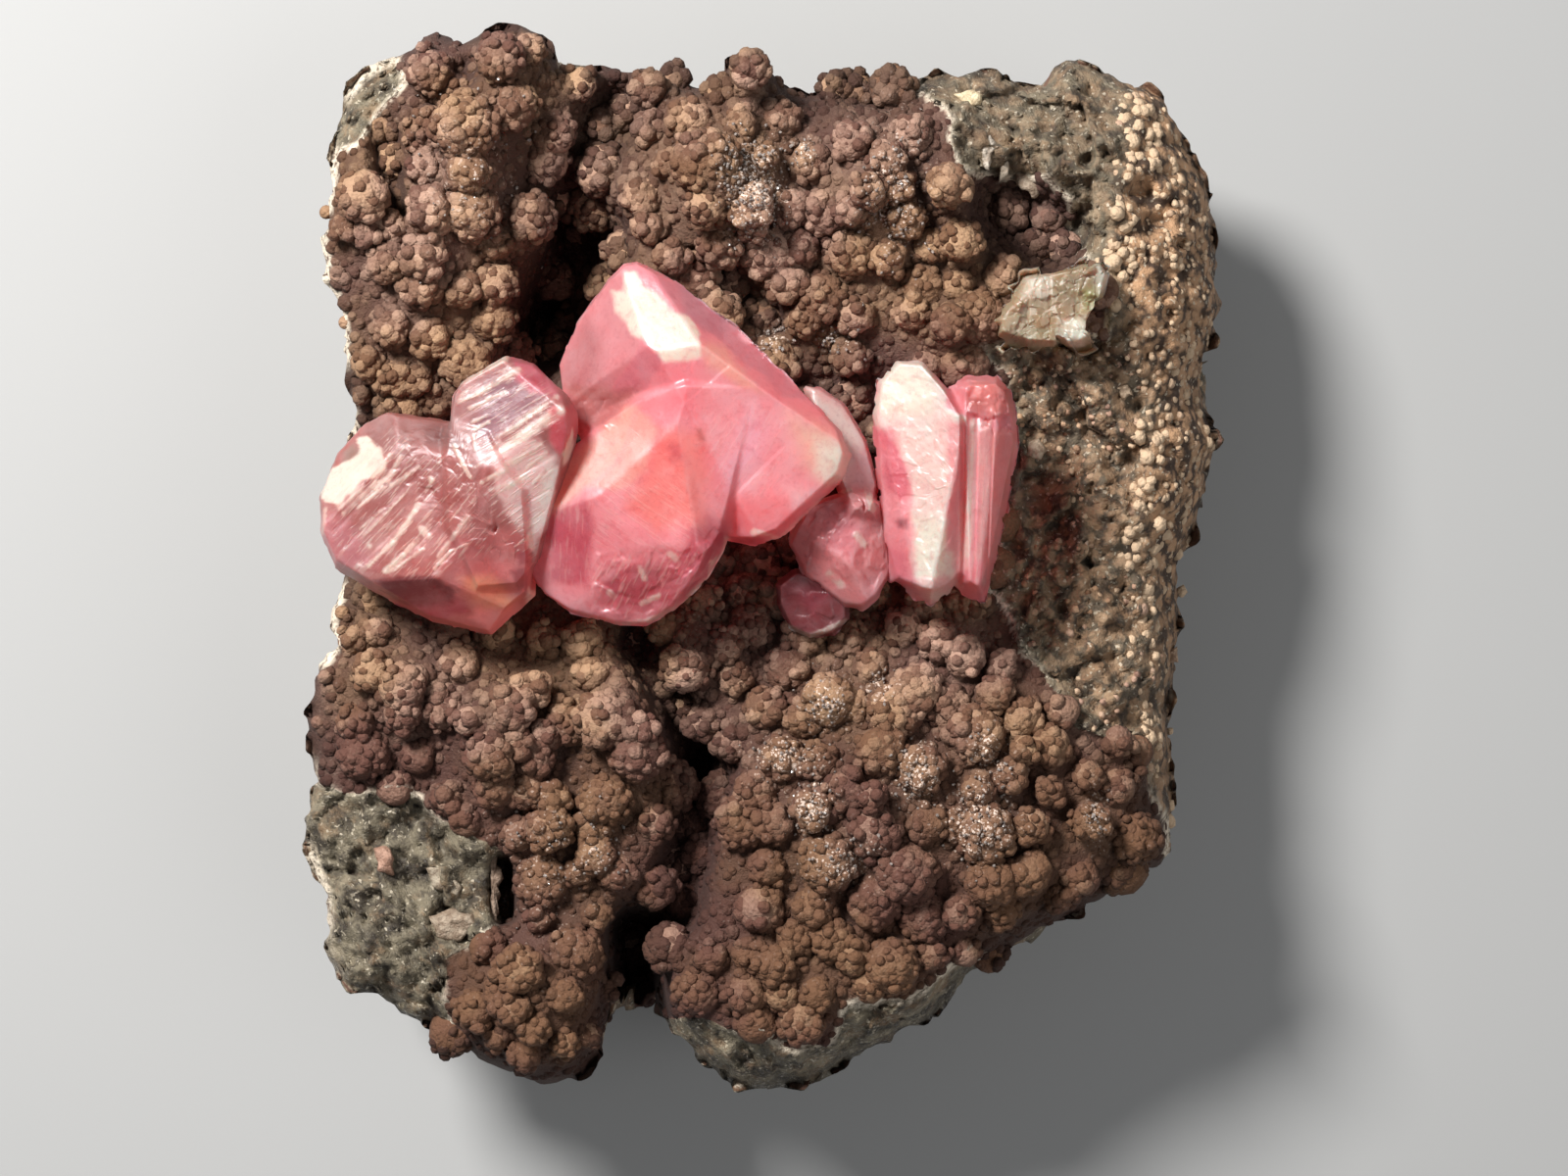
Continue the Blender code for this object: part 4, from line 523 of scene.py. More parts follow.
# Patches dusted with sugary white crystals: place, reach along X and Y, how white, and number of crystals
DRUSE_PATCHES = [
    ((-0.15, 18.7), 1.4, 2.3, 1.0, 300), ((2.25, 20.7), 0.6, 0.7, 0.8, 40),
    ((-1.25, 20.2), 0.8, 1.5, 0.6, 60),
    ((6.85, 18.45), 1.7, 3.3, 0.5, 160), ((0.75, 11.2), 0.7, 0.6, 0.7, 40), ((4, 11.05), 0.8, 0.6, 0.7, 40),
    ((3.5, -7.55), 1.1, 1.2, 0.7, 60), ((1.25, -10.3), 1.5, 1, 0.7, 60), ((2.75, -12.55), 1.1, 2, 0.7, 80),
    ((8, -11.05), 1.1, 1.5, 0.8, 80), ((11.25, -13.55), 1.7, 1.8, 0.8, 120),
    ((11.75, -10.05), 1.1, 1.5, 0.6, 60),
    ((6.25, -6.55), 0.8, 0.8, 0.6, 30), ((4.25, -15.55), 1.7, 1.2, 0.6, 70),
    ((-14.75, 19.45), 2.5, 3.5, 0.25, 70),
    ((17.25, -13.05), 0.7, 1.5, 0.6, 30), ((-10.75, -15.55), 3, 4, 0.25, 60),
    ((-8.25, -15.05), 1.5, 1.5, 0.3, 40)]

# Size of the worked meshes
TOP_COLUMNS = 236
TOP_ROWS = 272
WALL_ROWS = 18
WALL_GATHER = 1.3         # above 1, the rings of the walls gather under the rim
RELAX_STEPS = 150
LUMP_COLUMNS = 14
LUMP_RINGS = 7
GRAIN_COLUMNS = 8
GRAIN_LATITUDES = (40, 84)   # degrees from the top of a grain to its rings

# Bare rock: cells of its broken facets and their tilt, its grains and fibres, and its depth under the crust
FACET_CELLS = (2.1, 0.8, 0.42)
FACET_TILTS = (0.42, 0.55, 0.7)
WALL_FACET_CELLS = (3.2, 1.9)
SAND_CELLS = (1.1, 0.55)  # rounded grains of the sandy flank
SAND_RISES = (0.5, 0.24)
FIBRE_RUN = (0.9, 0.43)   # direction across the fine ridges of the bare rock
FIBRE_CELL = 0.55         # width of the fine ridges of the bare rock
FIBRE_RISE = 0.32
CRUST_THICKNESS = 0.5
ZONE_SOFTENING = 1.4      # finished softness of the edge of a zone over the one in its table
STREAK_STRENGTH = 0.7     # finished strength of a streak over the one in its table
STREAK_RISE = 0.03        # how far a streak stands up as a step
PATCH_WANDER = 0.45       # how far the edge of a bare patch wanders
RIM_WIDTH = 0.22          # half width of the pale broken edge of the crust
HOLLOW_SPAN = 9           # half window, in grid places, of the mean height that hollows are judged by for their painted shade
# depth under that mean at which a hollow takes its full painted shade
HOLLOW_DEPTH = 1.1
RAGGED_REACH = (0.32, 0.16)   # how far the outline is moved about by noise, in two sizes of cell
RAGGED_CELLS = (1.0, 0.45)
PALE_EDGE = -18.5         # left of this, the crust's broken edge shows pale along the outline, painted partly as the lit left edge
RIM_INSET = 0.45
SLOPE_STEP = 0.2          # step over which the ground's slope is measured

GOLDEN_ANGLE = math.pi * (3 - math.sqrt(5))


def settings():
    """The add-on's own settings, kept on the scene."""
    return bpy.context.scene.specimen


# ---------------------------------------------------------------------------------------------- formulas

def hashed(i, j, k, seed):
    """Repeatable value from 0 to 1 for a whole-number place: coordinates times large primes, bits mixed."""
    mixed = (i * 73856093) ^ (j * 19349663) ^ (k * 83492791) ^ (seed * 2654435761)
    mixed = ((mixed ^ (mixed >> 15)) * 2246822519) & 0xFFFFFFFF
    return ((mixed ^ (mixed >> 13)) & 0xFFFF) / 0xFFFF


def noise(x, y, z, cell, seed):
    """Smooth value from -1 to 1: hashed values on a cubic lattice of the given cell, eased between."""
    scaled = [np.asarray(axis, dtype=float) / cell for axis in (x, y, z)]
    whole = [np.floor(axis).astype(np.int64) for axis in scaled]
    part = [axis - start for axis, start in zip(scaled, whole)]
    ease = [axis * axis * (3 - 2 * axis) for axis in part]
    total = 0.0
    for corner in range(8):
        step = [(corner >> axis) & 1 for axis in range(3)]
        weight = 1.0
        for axis in range(3):
            weight = weight * (ease[axis] if step[axis] else 1 - ease[axis])
        total = total + weight * hashed(*[whole[axis] + step[axis] for axis in range(3)], seed)
    return 2 * total - 1


def facets(x, y, cell, tilt, seed):
    """Broken facets: each place takes the plane of its nearest jittered site, a random height and slope.

    Returns the height and the distance to the site.
    """
    column = np.floor(x / cell).astype(np.int64)
    row = np.floor(y / cell).astype(np.int64)
    nearest = np.full(np.shape(x), np.inf)
    height = np.zeros(np.shape(x))
    for di in (-1, 0, 1):
        for dj in (-1, 0, 1):
            i, j = column + di, row + dj
            dx = x - (i + hashed(i, j, 0, seed)) * cell
            dy = y - (j + hashed(i, j, 1, seed)) * cell
            distance = dx * dx + dy * dy
            closer = distance < nearest
            slope_x = 2 * hashed(i, j, 2, seed) - 1
            slope_y = 2 * hashed(i, j, 3, seed) - 1
            lift = hashed(i, j, 4, seed) - 0.5
            plane = tilt * (slope_x * dx + slope_y * dy + lift * cell)
            height = np.where(closer, plane, height)
            nearest = np.where(closer, distance, nearest)
    return height, np.sqrt(nearest)


def smoothstep(low, high, value):
    """0 below low, 1 above high, and an S curve between."""
    share = np.clip((value - low) / (high - low), 0, 1)
    return share * share * (3 - 2 * share)


def placed(points):
    """Plan positions with heights turned into real ones: widened by FLARE, and moved over the origin."""
    points = np.array(points, dtype=float)
    axis = np.array(FLARE_AXIS)
    share = 1 + (CRUST_LEVEL - points[..., 2:3]) * FLARE
    points[..., :2] = axis + (points[..., :2] - axis) * share - MIDDLE
    return points


def plan_of(points):
    """The plan positions x and y of real positions: placed, undone."""
    share = 1 + (CRUST_LEVEL - points[..., 2]) * FLARE
    x = FLARE_AXIS[0] + (points[..., 0] + MIDDLE[0] - FLARE_AXIS[0]) / share
    y = FLARE_AXIS[1] + (points[..., 1] + MIDDLE[1] - FLARE_AXIS[1]) / share
    return x, y


def line_distance(x, y, a, b):
    """Distance in plan from the line between two points."""
    a, b = np.array(a), np.array(b)
    run = b - a
    along = np.clip(((x - a[0]) * run[0] + (y - a[1]) * run[1]) / (run @ run), 0, 1)
    return np.hypot(x - a[0] - along * run[0], y - a[1] - along * run[1])


def inside(x, y, polygon):
    """True where a plan position lies inside a polygon: an odd number of its sides cross the ray to +X."""
    odd = np.zeros(np.shape(x), dtype=bool)
    for (ax, ay), (bx, by) in zip(polygon, polygon[1:] + polygon[:1]):
        crosses = (ay > y) != (by > y)
        odd ^= crosses & (x < ax + (y - ay) * (bx - ax) / (by - ay + 1e-12))
    return odd


def depth_in(x, y, polygon):
    """Distance from a polygon's border, positive inside it and negative outside."""
    polygon = [tuple(corner[:2]) for corner in polygon]
    nearest = np.full(np.shape(x), np.inf)
    for a, b in zip(polygon, polygon[1:] + polygon[:1]):
        nearest = np.minimum(nearest, line_distance(x, y, a, b))
    return np.where(inside(x, y, polygon), nearest, -nearest)


# ------------------------------------------------------------------------------------ shape of the block

def smooth_run(points, before, after, steps=12):
    """Catmull-Rom curve through a run of points, with one neighbour beyond each end."""
    knots = np.array([before] + points + [after], dtype=float)
    t = np.linspace(0, 1, steps, endpoint=False)[:, None]
    pieces = []
    for a, b, c, d in zip(knots[:-3], knots[1:-2], knots[2:-1], knots[3:]):
        pieces.append(b + 0.5 * t * (c - a + t * (2 * a - 5 * b + 4 * c - d + t * (3 * (b - c) + d - a))))
    return np.vstack(pieces + [knots[-2:-1]])


def outline_sides():
    """The four smooth sides of the outline; each starts on the first point of its edge list."""
    edges = [LOWER_EDGE, RIGHT_EDGE, UPPER_EDGE, LEFT_EDGE]
    sides = []
    for index, edge in enumerate(edges):
        following = edges[(index + 1) % 4]
        preceding = edges[index - 1]
        sides.append(smooth_run(edge + following[:1], preceding[-1], following[1]))
    return sides


def even(curve, count):
    """The given number of points at even distances along a polyline."""
    lengths = np.concatenate([[0], np.cumsum(np.linalg.norm(np.diff(curve, axis=0), axis=1))])
    places = np.linspace(0, lengths[-1], count)
    return np.stack([np.interp(places, lengths, curve[:, axis]) for axis in range(2)], axis=1)


def plan_grid(columns, rows):
    """Plan positions on a grid that fills the outline: a Coons patch between its four sides, then relaxed.

    Near the outline they are moved about by noise in two sizes, which leaves its edge ragged.
    """
    lower, right, upper, left = [even(side, n) for side, n in
                                 zip(outline_sides(), (columns, rows, columns, rows))]
    upper = upper[::-1]
    left = left[::-1]
    s = np.linspace(0, 1, columns)[None, :, None]
    t = np.linspace(0, 1, rows)[:, None, None]
    grid = (1 - t) * lower[None] + t * upper[None] + (1 - s) * left[:, None] + s * right[:, None]
    grid -= ((1 - s) * (1 - t) * lower[0] + s * (1 - t) * lower[-1]
             + (1 - s) * t * upper[0] + s * t * upper[-1])
    for _ in range(RELAX_STEPS):
        grid[1:-1, 1:-1] = (grid[:-2, 1:-1] + grid[2:, 1:-1] + grid[1:-1, :-2] + grid[1:-1, 2:]) / 4
    x, y = grid[..., 0], grid[..., 1]
    near = smoothstep(1.6, 0.0, edge_distance(x, y))
    moves = [sum(reach * noise(x, y, 0, cell, seed) for reach, cell in zip(RAGGED_REACH, RAGGED_CELLS))
             for seed in (15, 16)]
    return grid + near[..., None] * np.dstack(moves)


def edge_distance(x, y):
    """Distance in plan from the outline."""
    loop = np.vstack([side[:-1:3] for side in outline_sides()])
    nearest = np.full(np.shape(x), np.inf)
    for a, b in zip(loop, np.roll(loop, -1, axis=0)):
        nearest = np.minimum(nearest, line_distance(x, y, a, b))
    return nearest


def bareness(x, y):
    """How far inside a patch of bare host rock a plan position lies, negative outside; the edge wanders."""
    wander_x = x + PATCH_WANDER * noise(x, y, 0, 1.5, 21)
    wander_y = y + PATCH_WANDER * noise(x, y, 0, 1.5, 22)
    return np.max([depth_in(wander_x, wander_y, patch) for patch in HOST_PATCHES], axis=0)


def fall(x, y):
    """Depth by which the top falls away near the outline: a quarter-round of the bearing's own width."""
    bearing, width, depth = np.array(EDGE_FALL).T
    angle = np.degrees(np.arctan2(y, x)) % 360
    reach = np.interp(angle, bearing, width, period=360)
    drop = np.interp(angle, bearing, depth, period=360)
    near = np.clip(1 - edge_distance(x, y) / reach, 0, 0.99)
    return drop * (1 - np.sqrt(1 - near ** 2))


def ground(x, y):
    """Height of the top without its lumps: mean level, mounds, furrows, fall to the edges and slow noise."""
    height = GROUND_LEVEL + SLOW_RISE * noise(x, y, 0, SLOW_CELL, 1)
    for cx, cy, reach_x, reach_y, rise in MOUNDS:
        height += rise * np.exp(-((x - cx) / reach_x) ** 2 - ((y - cy) / reach_y) ** 2)
    for ax, ay, bx, by, half_width, depth in FURROWS:
        height -= depth * np.exp(-(line_distance(x, y, (ax, ay), (bx, by)) / half_width) ** 3)
    return np.maximum(height - fall(x, y), LOWEST_GROUND)


def under_crystals(x, y):
    """How far inside a crystal's girdle a plan position lies, negative outside."""
    return np.max([depth_in(x, y, shape["girdle"]) for shape in ALL_CRYSTALS], axis=0)


def lump_list():
    """The single lumps and, on a jittered six-sided lattice over the rest of the crust, the small ones."""
    draw = np.random.default_rng(LUMP_SEED)
    lumps = list(LUMPS)
    for row in range(-LATTICE_ROWS, LATTICE_ROWS + 1):
        for column in range(-LATTICE_COLUMNS, LATTICE_COLUMNS + 1):
            x = (column + 0.5 * (row % 2)) * LUMP_SPACING + draw.uniform(-LUMP_JITTER, LUMP_JITTER)
            y = row * LUMP_SPACING * math.sqrt(3) / 2 + draw.uniform(-LUMP_JITTER, LUMP_JITTER)
            radius = draw.uniform(*LUMP_RADIUS)
            lift = draw.uniform(*LUMP_LIFT)
            room = min(math.hypot(x - cx, y - cy) - LUMP_OVERLAP * (r + radius) for cx, cy, r, _ in lumps)
            bare = any(inside(np.array([x]), np.array([y]), patch)[0] for patch in HOST_PATCHES)
            if room > 0 and not bare:
                lumps.append((x, y, radius, lift))
    lumps = np.array(lumps)
    x, y, radius = lumps[:, :3].T
    keep = depth_in(x, y, OUTLINE) > -0.3 * radius
    keep &= np.max([depth_in(x, y, patch) for patch in HOST_PATCHES], axis=0) < 0.4 * radius
    keep &= under_crystals(x, y) < 0.5
    room = np.maximum(depth_in(x, y, OUTLINE) - 0.15, 0.35)
    lumps[:, 2] = np.where(x < PALE_EDGE + 1.5, np.minimum(radius, room), radius)
    return lumps[keep]


def sandiness(x, y):
    """Share of the sandy flank at a plan position; its edge wanders."""
    return smoothstep(-0.9, 0.9, depth_in(x, y, SANDY_FLANK) + 0.9 * noise(x, y, 0, 1.6, 52))


def slanted(x, y):
    """A plan position measured across the fine ridges of the bare rock, and along them."""
    return FIBRE_RUN[0] * x + FIBRE_RUN[1] * y, FIBRE_RUN[0] * y - FIBRE_RUN[1] * x


def broken_rock(x, y):
    """Relief of bare host rock: facets, slanting ridges and fibres, pits, rounded grains and rings."""
    across = RIDGE_RUN[0] * x + RIDGE_RUN[1] * y + SLOW_RISE * noise(x, y, 0, SLOW_CELL, 5)
    slant, run = slanted(x, y)
    fibre = FIBRE_RISE * noise(slant, 0.2 * run, 0, FIBRE_CELL, 7)
    ridge = RIDGE_RISE * (np.abs((across / RIDGE_SPACING) % 1 - 0.5) * 2 - 0.25)
    pits = sum(PIT_DEPTH * np.clip(noise(x, y, 0, cell, 6) - 0.3, 0, 1) for cell in PIT_CELLS)
    relief = 0.7 * ridge - pits + fibre
    for cell, tilt in zip(FACET_CELLS, FACET_TILTS):
        relief = relief + facets(x, y, cell, tilt, 31)[0]
    rounded = sum(rise * np.sqrt(np.clip(1 - (facets(x, y, cell, 0, 33)[1] / (0.6 * cell)) ** 2, 0, 1))
                  for cell, rise in zip(SAND_CELLS, SAND_RISES))
    sandy = sandiness(x, y)
    relief = relief * (1 - 0.75 * sandy) + rounded * sandy
    for cx, cy, radius in RINGS:
        distance = np.hypot(x - cx, y - cy) / radius
        relief = relief + 0.5 * np.exp(-((distance - 0.8) / 0.3) ** 2) - 0.5 * np.exp(-(distance / 0.4) ** 2)
    return relief


def hollow_shading(z, level):
    """How deep in a hollow a place of the crust lies, for painted shade: low beside its lumps, or on low
    ground.
    """
    low = 0.65 * smoothstep(1.3, -0.5, z - level)
    return np.clip(low + 0.6 * smoothstep(0.5, -2.5, level - GROUND_LEVEL), 0, 1)


def crust_surface(x, y, lumps, level):
    """Height of the crust: the ground with spherical lumps standing in it."""
    height = ground(x, y)
    for (cx, cy, radius, _), centre in zip(lumps, level):
        room = (0.95 * radius) ** 2 - (x - cx) ** 2 - (y - cy) ** 2
        cap = centre + np.sqrt(np.maximum(room, 0)) * LUMP_SQUASH
        height = np.where(room > 0, np.maximum(height, cap), height)
    return height


def top_surface(x, y, lumps, level):
    """Height of the finished top: the crust, and broken host rock a crust's thickness under it."""
    bare = bareness(x, y)
    rock = ground(x, y) + broken_rock(x, y) - CRUST_THICKNESS * smoothstep(0, 1.2, bare)
    share = smoothstep(-0.05, 0.2, bare)
    return crust_surface(x, y, lumps, level) * (1 - share) + rock * share


def calmed(ring):
    """A ring with its small steps evened out: the running mean over CALM_SPAN places on each side."""
    shifts = range(-CALM_SPAN, CALM_SPAN + 1)
    return sum(np.roll(ring, shift, axis=0) for shift in shifts) / len(shifts)


def drawn_in(ring, inset):
    """A ring moved towards the middle of the block by an inset in millimetres."""
    middle = ring[:, :2].mean(axis=0)
    offset = ring[:, :2] - middle
    reach = np.linalg.norm(offset, axis=1, keepdims=True)
    moved = ring.copy()
    moved[:, :2] = middle + offset * (1 - np.reshape(inset, (-1, 1)) / reach)
    return moved


def wall_ring(rim, share, along):
    """One ring of the broken side walls: the rim, evened out, lowered by a share and drawn in with noise."""
    blend = min(1.0, share / CALM_REACH)
    ring = rim * (1 - blend) + calmed(rim) * blend
    ring[:, 2] = ring[:, 2] * (1 - share) + FOOT_HEIGHT * share
    x, y, z = ring.T
    rough = sum(rise * noise(x, y, z, cell, 11) for rise, cell in zip(WALL_RISES, WALL_CELLS))
    ledge = LEDGE_DEPTH * ((z / LEDGE_SPACING + 0.5 * noise(x, y, 0, 2 * LEDGE_SPACING, 13)) % 1)
    broken = sum(facets(along, z, cell, 0.3, 41)[0] for cell in WALL_FACET_CELLS)
    uneven = (ledge - broken - LEDGE_DEPTH / 2) * (1 - smoothstep(FOOT_CALM, 1.0, share))
    inset = WALL_TAPER * share ** 2 + (LIP + rough + LEDGE_DEPTH / 2 + uneven) * min(1.0, share / LIP_SPAN)
    return drawn_in(ring, inset)


# --------------------------------------------------------------------------------------- shape of crystals

CROWN_SLOPE = math.radians(78)
UNDERCUT = math.radians(12)
CREASE_WIDTH = 0.14       # difference of height within which two faces round into each other
GROOVE_SHARE = 0.15       # finished depth of a groove over its depth in the solid
JOIN_WIDTH = 2.4          # difference of height within which two crystals run into each other
STRIA_SHORTENING = 0.12   # how much slower the lines' pattern changes along them than across
CHIP_CELLS = (0.9, 0.4)


def crystal_faces(shape):
    """First point and unit normal of a crystal's crown faces and tables, all facing out."""
    girdle = placed(shape["girdle"])
    heart = girdle.mean(axis=0) - [0, 0, 1]
    corners = [list(placed(np.reshape(table, (3, 3)))) for table in shape["tables"]]
    for a, b in zip(girdle, np.roll(girdle, -1, axis=0)):
        run = b - a
        outward = np.array([run[1], -run[0], 0])
        outward *= np.sign(outward @ (a - heart)) / np.linalg.norm(outward)
        corners.append([a, b, a + [0, 0, math.sin(CROWN_SLOPE)] - outward * math.cos(CROWN_SLOPE)])
    faces = []
    for a, b, c in corners:
        normal = np.cross(b - a, c - a)
        normal /= np.linalg.norm(normal)
        faces.append((a, normal if normal @ (a - heart) > 0 else -normal))
    return faces


def crystal_height(shape, x, y):
    """Height of a crystal over a place, that of its lowest face there, and how near an edge the place is."""
    faces = crystal_faces(shape)
    heights = np.array([a[2] - ((x - a[0]) * n[0] + (y - a[1]) * n[1]) / n[2] for a, n in faces])
    lowest, second = np.partition(heights, 1, axis=0)[:2]
    crease = np.clip(1 - (second - lowest) / CREASE_WIDTH, 0, 1)
    return lowest - CREASE_WIDTH * crease ** 2 / 4, crease ** 2


def striae(group, x, y):
    """Strength of the fine lines at each place, and the place along (much shortened) and across them."""
    strength = np.zeros(np.shape(x))
    run = np.zeros((*np.shape(x), 3))
    for corners, bearing, most in group["striae"]:
        turn = math.radians(bearing)
        own = most * smoothstep(-0.4, 0.4, depth_in(x, y, corners))
        along = (x * math.cos(turn) + y * math.sin(turn)) * STRIA_SHORTENING
        across = y * math.cos(turn) - x * math.sin(turn)
        run[own > strength] = np.stack([along, across, 0 * x], axis=-1)[own > strength]
        strength = np.maximum(strength, own)
    return strength, run


def chipped(group, x, y):
    """Relief of a crystal's broken places: angular facets in two sizes, where the group's chips say."""
    relief = sum(0.35 * facets(x, y, cell, 0.6, 94)[0] for cell in CHIP_CELLS)
    share = sum(strength * smoothstep(-0.3, 0.3, depth_in(x, y, corners))
                for corners, strength in group["chips"])
    return relief * (0.12 + share)


def girdle_reach(shape, centre, direction):
    """Distance from a place inside the girdle to it, and its height there, for an array of directions."""
    girdle = placed(shape["girdle"])
    best = np.full(len(direction), np.inf)
    height = np.zeros(len(direction))
    for a, b in zip(girdle, np.roll(girdle, -1, axis=0)):
        run = b - a
        across = np.array([run[1], -run[0]])
        facing = direction @ across
        reach = ((a[:2] - centre) @ across) / np.where(np.abs(facing) < 1e-9, 1e-9, facing)
        hit = centre + direction * reach[:, None]
        along = np.clip(((hit - a[:2]) @ run[:2]) / (run[:2] @ run[:2]), 0, 1)
        nearer = (reach > 0) & (reach < best)
        best = np.where(nearer, reach, best)
        height = np.where(nearer, a[2] + along * run[2], height)
    return best, height


def grooved(shape, x, y):
    """Depth of a crystal's grooves over a plan position: steep on one side, sloping back on the other."""
    depth_there = np.zeros(np.shape(x))
    for ax, ay, bx, by, width, depth in shape.get("grooves", []):
        run = np.array([bx - ax, by - ay])
        length = np.linalg.norm(run)
        run = run / length
        along = (x - ax) * run[0] + (y - ay) * run[1]
        across = -(x - ax) * run[1] + (y - ay) * run[0]
        ends = smoothstep(-0.15, 0.15, along) * smoothstep(-0.15, 0.15, length - along)
        profile = smoothstep(-0.08, 0.0, across) * np.clip(1 - across / width, 0, 1)
        depth_there = np.maximum(depth_there, depth * profile * ends)
    return depth_there


# ------------------------------------------------------------------------------------------ mesh building

def made_mesh(name, vertices, faces, attributes=None, smooth=True):
    """Mesh object from arrays in millimetres: vertices, lists of face arrays, and values for each vertex."""
    mesh = bpy.data.meshes.new(name)
    mesh.vertices.add(len(vertices))
    mesh.vertices.foreach_set("co", (vertices * MM).astype(np.float32).ravel())
    counts = np.concatenate([np.full(len(block), block.shape[1]) for block in faces])
    corners = np.concatenate([block.ravel() for block in faces])
    mesh.loops.add(len(corners))
    mesh.loops.foreach_set("vertex_index", corners.astype(np.int32))
    mesh.polygons.add(len(counts))
    mesh.polygons.foreach_set("loop_start", (np.cumsum(counts) - counts).astype(np.int32))
    mesh.polygons.foreach_set("use_smooth", np.full(len(counts), smooth))
    mesh.update(calc_edges=True)
    for key, values in (attributes or {}).items():
        kind = "FLOAT_COLOR" if np.ndim(values) == 2 else "FLOAT"
        layer = mesh.attributes.new(key, kind, "POINT")
        if kind == "FLOAT_COLOR":
            layer.data.foreach_set("color", np.column_stack([values, np.ones(len(values))]).ravel())
        else:
            layer.data.foreach_set("value", values.astype(np.float32))
    made = bpy.data.objects.new(name, mesh)
    bpy.context.collection.objects.link(made)
    return made


def finished(made, material, node=None):
    """Give a piece its material and slot, let it ride on the specimen, and hide the solid it stands for."""
    made.data.materials.append(material)
    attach(made, "root")
    if node:
        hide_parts(node)


def band(upper, lower):
    """Quads between two closed rings of vertex numbers that run anticlockwise from above."""
    return np.column_stack([upper, lower, np.roll(lower, -1), np.roll(upper, -1)])


def ring_stack(rings, top, bottom):
    """Closed mesh from rings stacked from top to bottom, with a pole at each end.

    rings is an array of rings by columns by 3; each ring runs anticlockwise from above.
    """
    rows, columns = rings.shape[:2]
    vertices = np.vstack([rings.reshape(-1, 3), top, bottom])
    index = np.arange(rows * columns).reshape(rows, columns)
    quads = np.vstack([band(upper, lower) for upper, lower in zip(index[:-1], index[1:])])
    first, last = index[0], index[-1]
    cap = np.column_stack([np.full(columns, rows * columns), first, np.roll(first, -1)])
    base = np.column_stack([np.full(columns, rows * columns + 1), np.roll(last, -1), last])
    return vertices, [quads, cap, base]


def ball(polar, columns):
    """Unit ball as rings at angles from its top: vertices, quads and pole triangles, facing out."""
    polar = np.reshape(polar, (-1, 1))
    longitude = np.linspace(0, 2 * math.pi, columns, endpoint=False)
    x = np.sin(polar) * np.cos(longitude)
    y = np.sin(polar) * np.sin(longitude)
    z = np.cos(polar) * np.ones(columns)
    return ring_stack(np.dstack([x, y, z]), [[0, 0, 1]], [[0, 0, -1]])


def unit_length(vectors):
    """Vectors over their lengths."""
    return vectors / np.linalg.norm(vectors, axis=1, keepdims=True)


def turned(normals):
    """Rotation matrices that take +Z to each of an array of unit normals."""
    side = unit_length(np.cross(np.array([0.0, 1.0, 0.2]), normals))
    other = np.cross(normals, side)
    return np.stack([side, other, normals], axis=2)


def scattered(shape, centres, normals, radii, squash, roughness, seed):
    """One mesh of many copies of a small closed shape, each turned to its normal, sized and made uneven.

    Returns the vertices, the faces, and for each vertex the number of its copy.
    """
    unit, faces = shape
    draw = np.random.default_rng(seed)
    uneven = 1 + roughness * draw.standard_normal((len(centres), len(unit), 1))
    local = unit[None] * uneven * np.stack([radii, radii, radii * squash], axis=1)[:, None, :]
    spin = draw.uniform(0, 2 * math.pi, len(centres))
    cosine, sine = np.cos(spin), np.sin(spin)
    local = np.stack([local[..., 0] * cosine[:, None] - local[..., 1] * sine[:, None],
                      local[..., 0] * sine[:, None] + local[..., 1] * cosine[:, None],
                      local[..., 2]], axis=2)
    world = np.einsum("nij,nkj->nki", turned(normals), local) + centres[:, None, :]
    shift = (np.arange(len(centres)) * len(unit))[:, None, None]
    blocks = [(block[None] + shift).reshape(-1, block.shape[1]) for block in faces]
    return world.reshape(-1, 3), blocks, np.repeat(np.arange(len(centres)), len(unit))


# ---------------------------------------------------------------------------------------------- materials

PORE_COLOUR = (0.016, 0.012, 0.009)
# painted shade for the bare stone in its hollows
STONE_PAINTED_SHADE = (0.024, 0.017, 0.012)
CHIP_STAIN = (0.42, 0.34, 0.28)
DRUSE_COLOURS = (0.30, 0.24, 0.21), (0.62, 0.55, 0.50)
PAPER_COLOURS = (0.34, 0.335, 0.325), (0.38, 0.375, 0.365)
ROOM_COLOUR = (0.86, 0.92, 1.0)
FLOOR_REACH = 1200        # from the middle of the floor to its sides
GLOW_SPREAD = (1.0, 0.45, 0.4)   # how far red, green and blue light spread under the faces, over GLOW_DEPTH
GLOW_DEPTH = 2.0


class Term:
    """A shader socket that Python's operators work on: each adds a Math node."""

    def __init__(self, shader, socket):
        self.shader = shader
        self.socket = socket

    def __add__(self, other):
        return self.shader.math("ADD", self, other)

    def __sub__(self, other):
        return self.shader.math("SUBTRACT", self, other)

    def __rsub__(self, other):
        return self.shader.math("SUBTRACT", other, self)

    def __mul__(self, other):
        return self.shader.math("MULTIPLY", self, other)

    def __pow__(self, other):
        return self.shader.math("POWER", self, other)

    __radd__ = __add__
    __rmul__ = __mul__


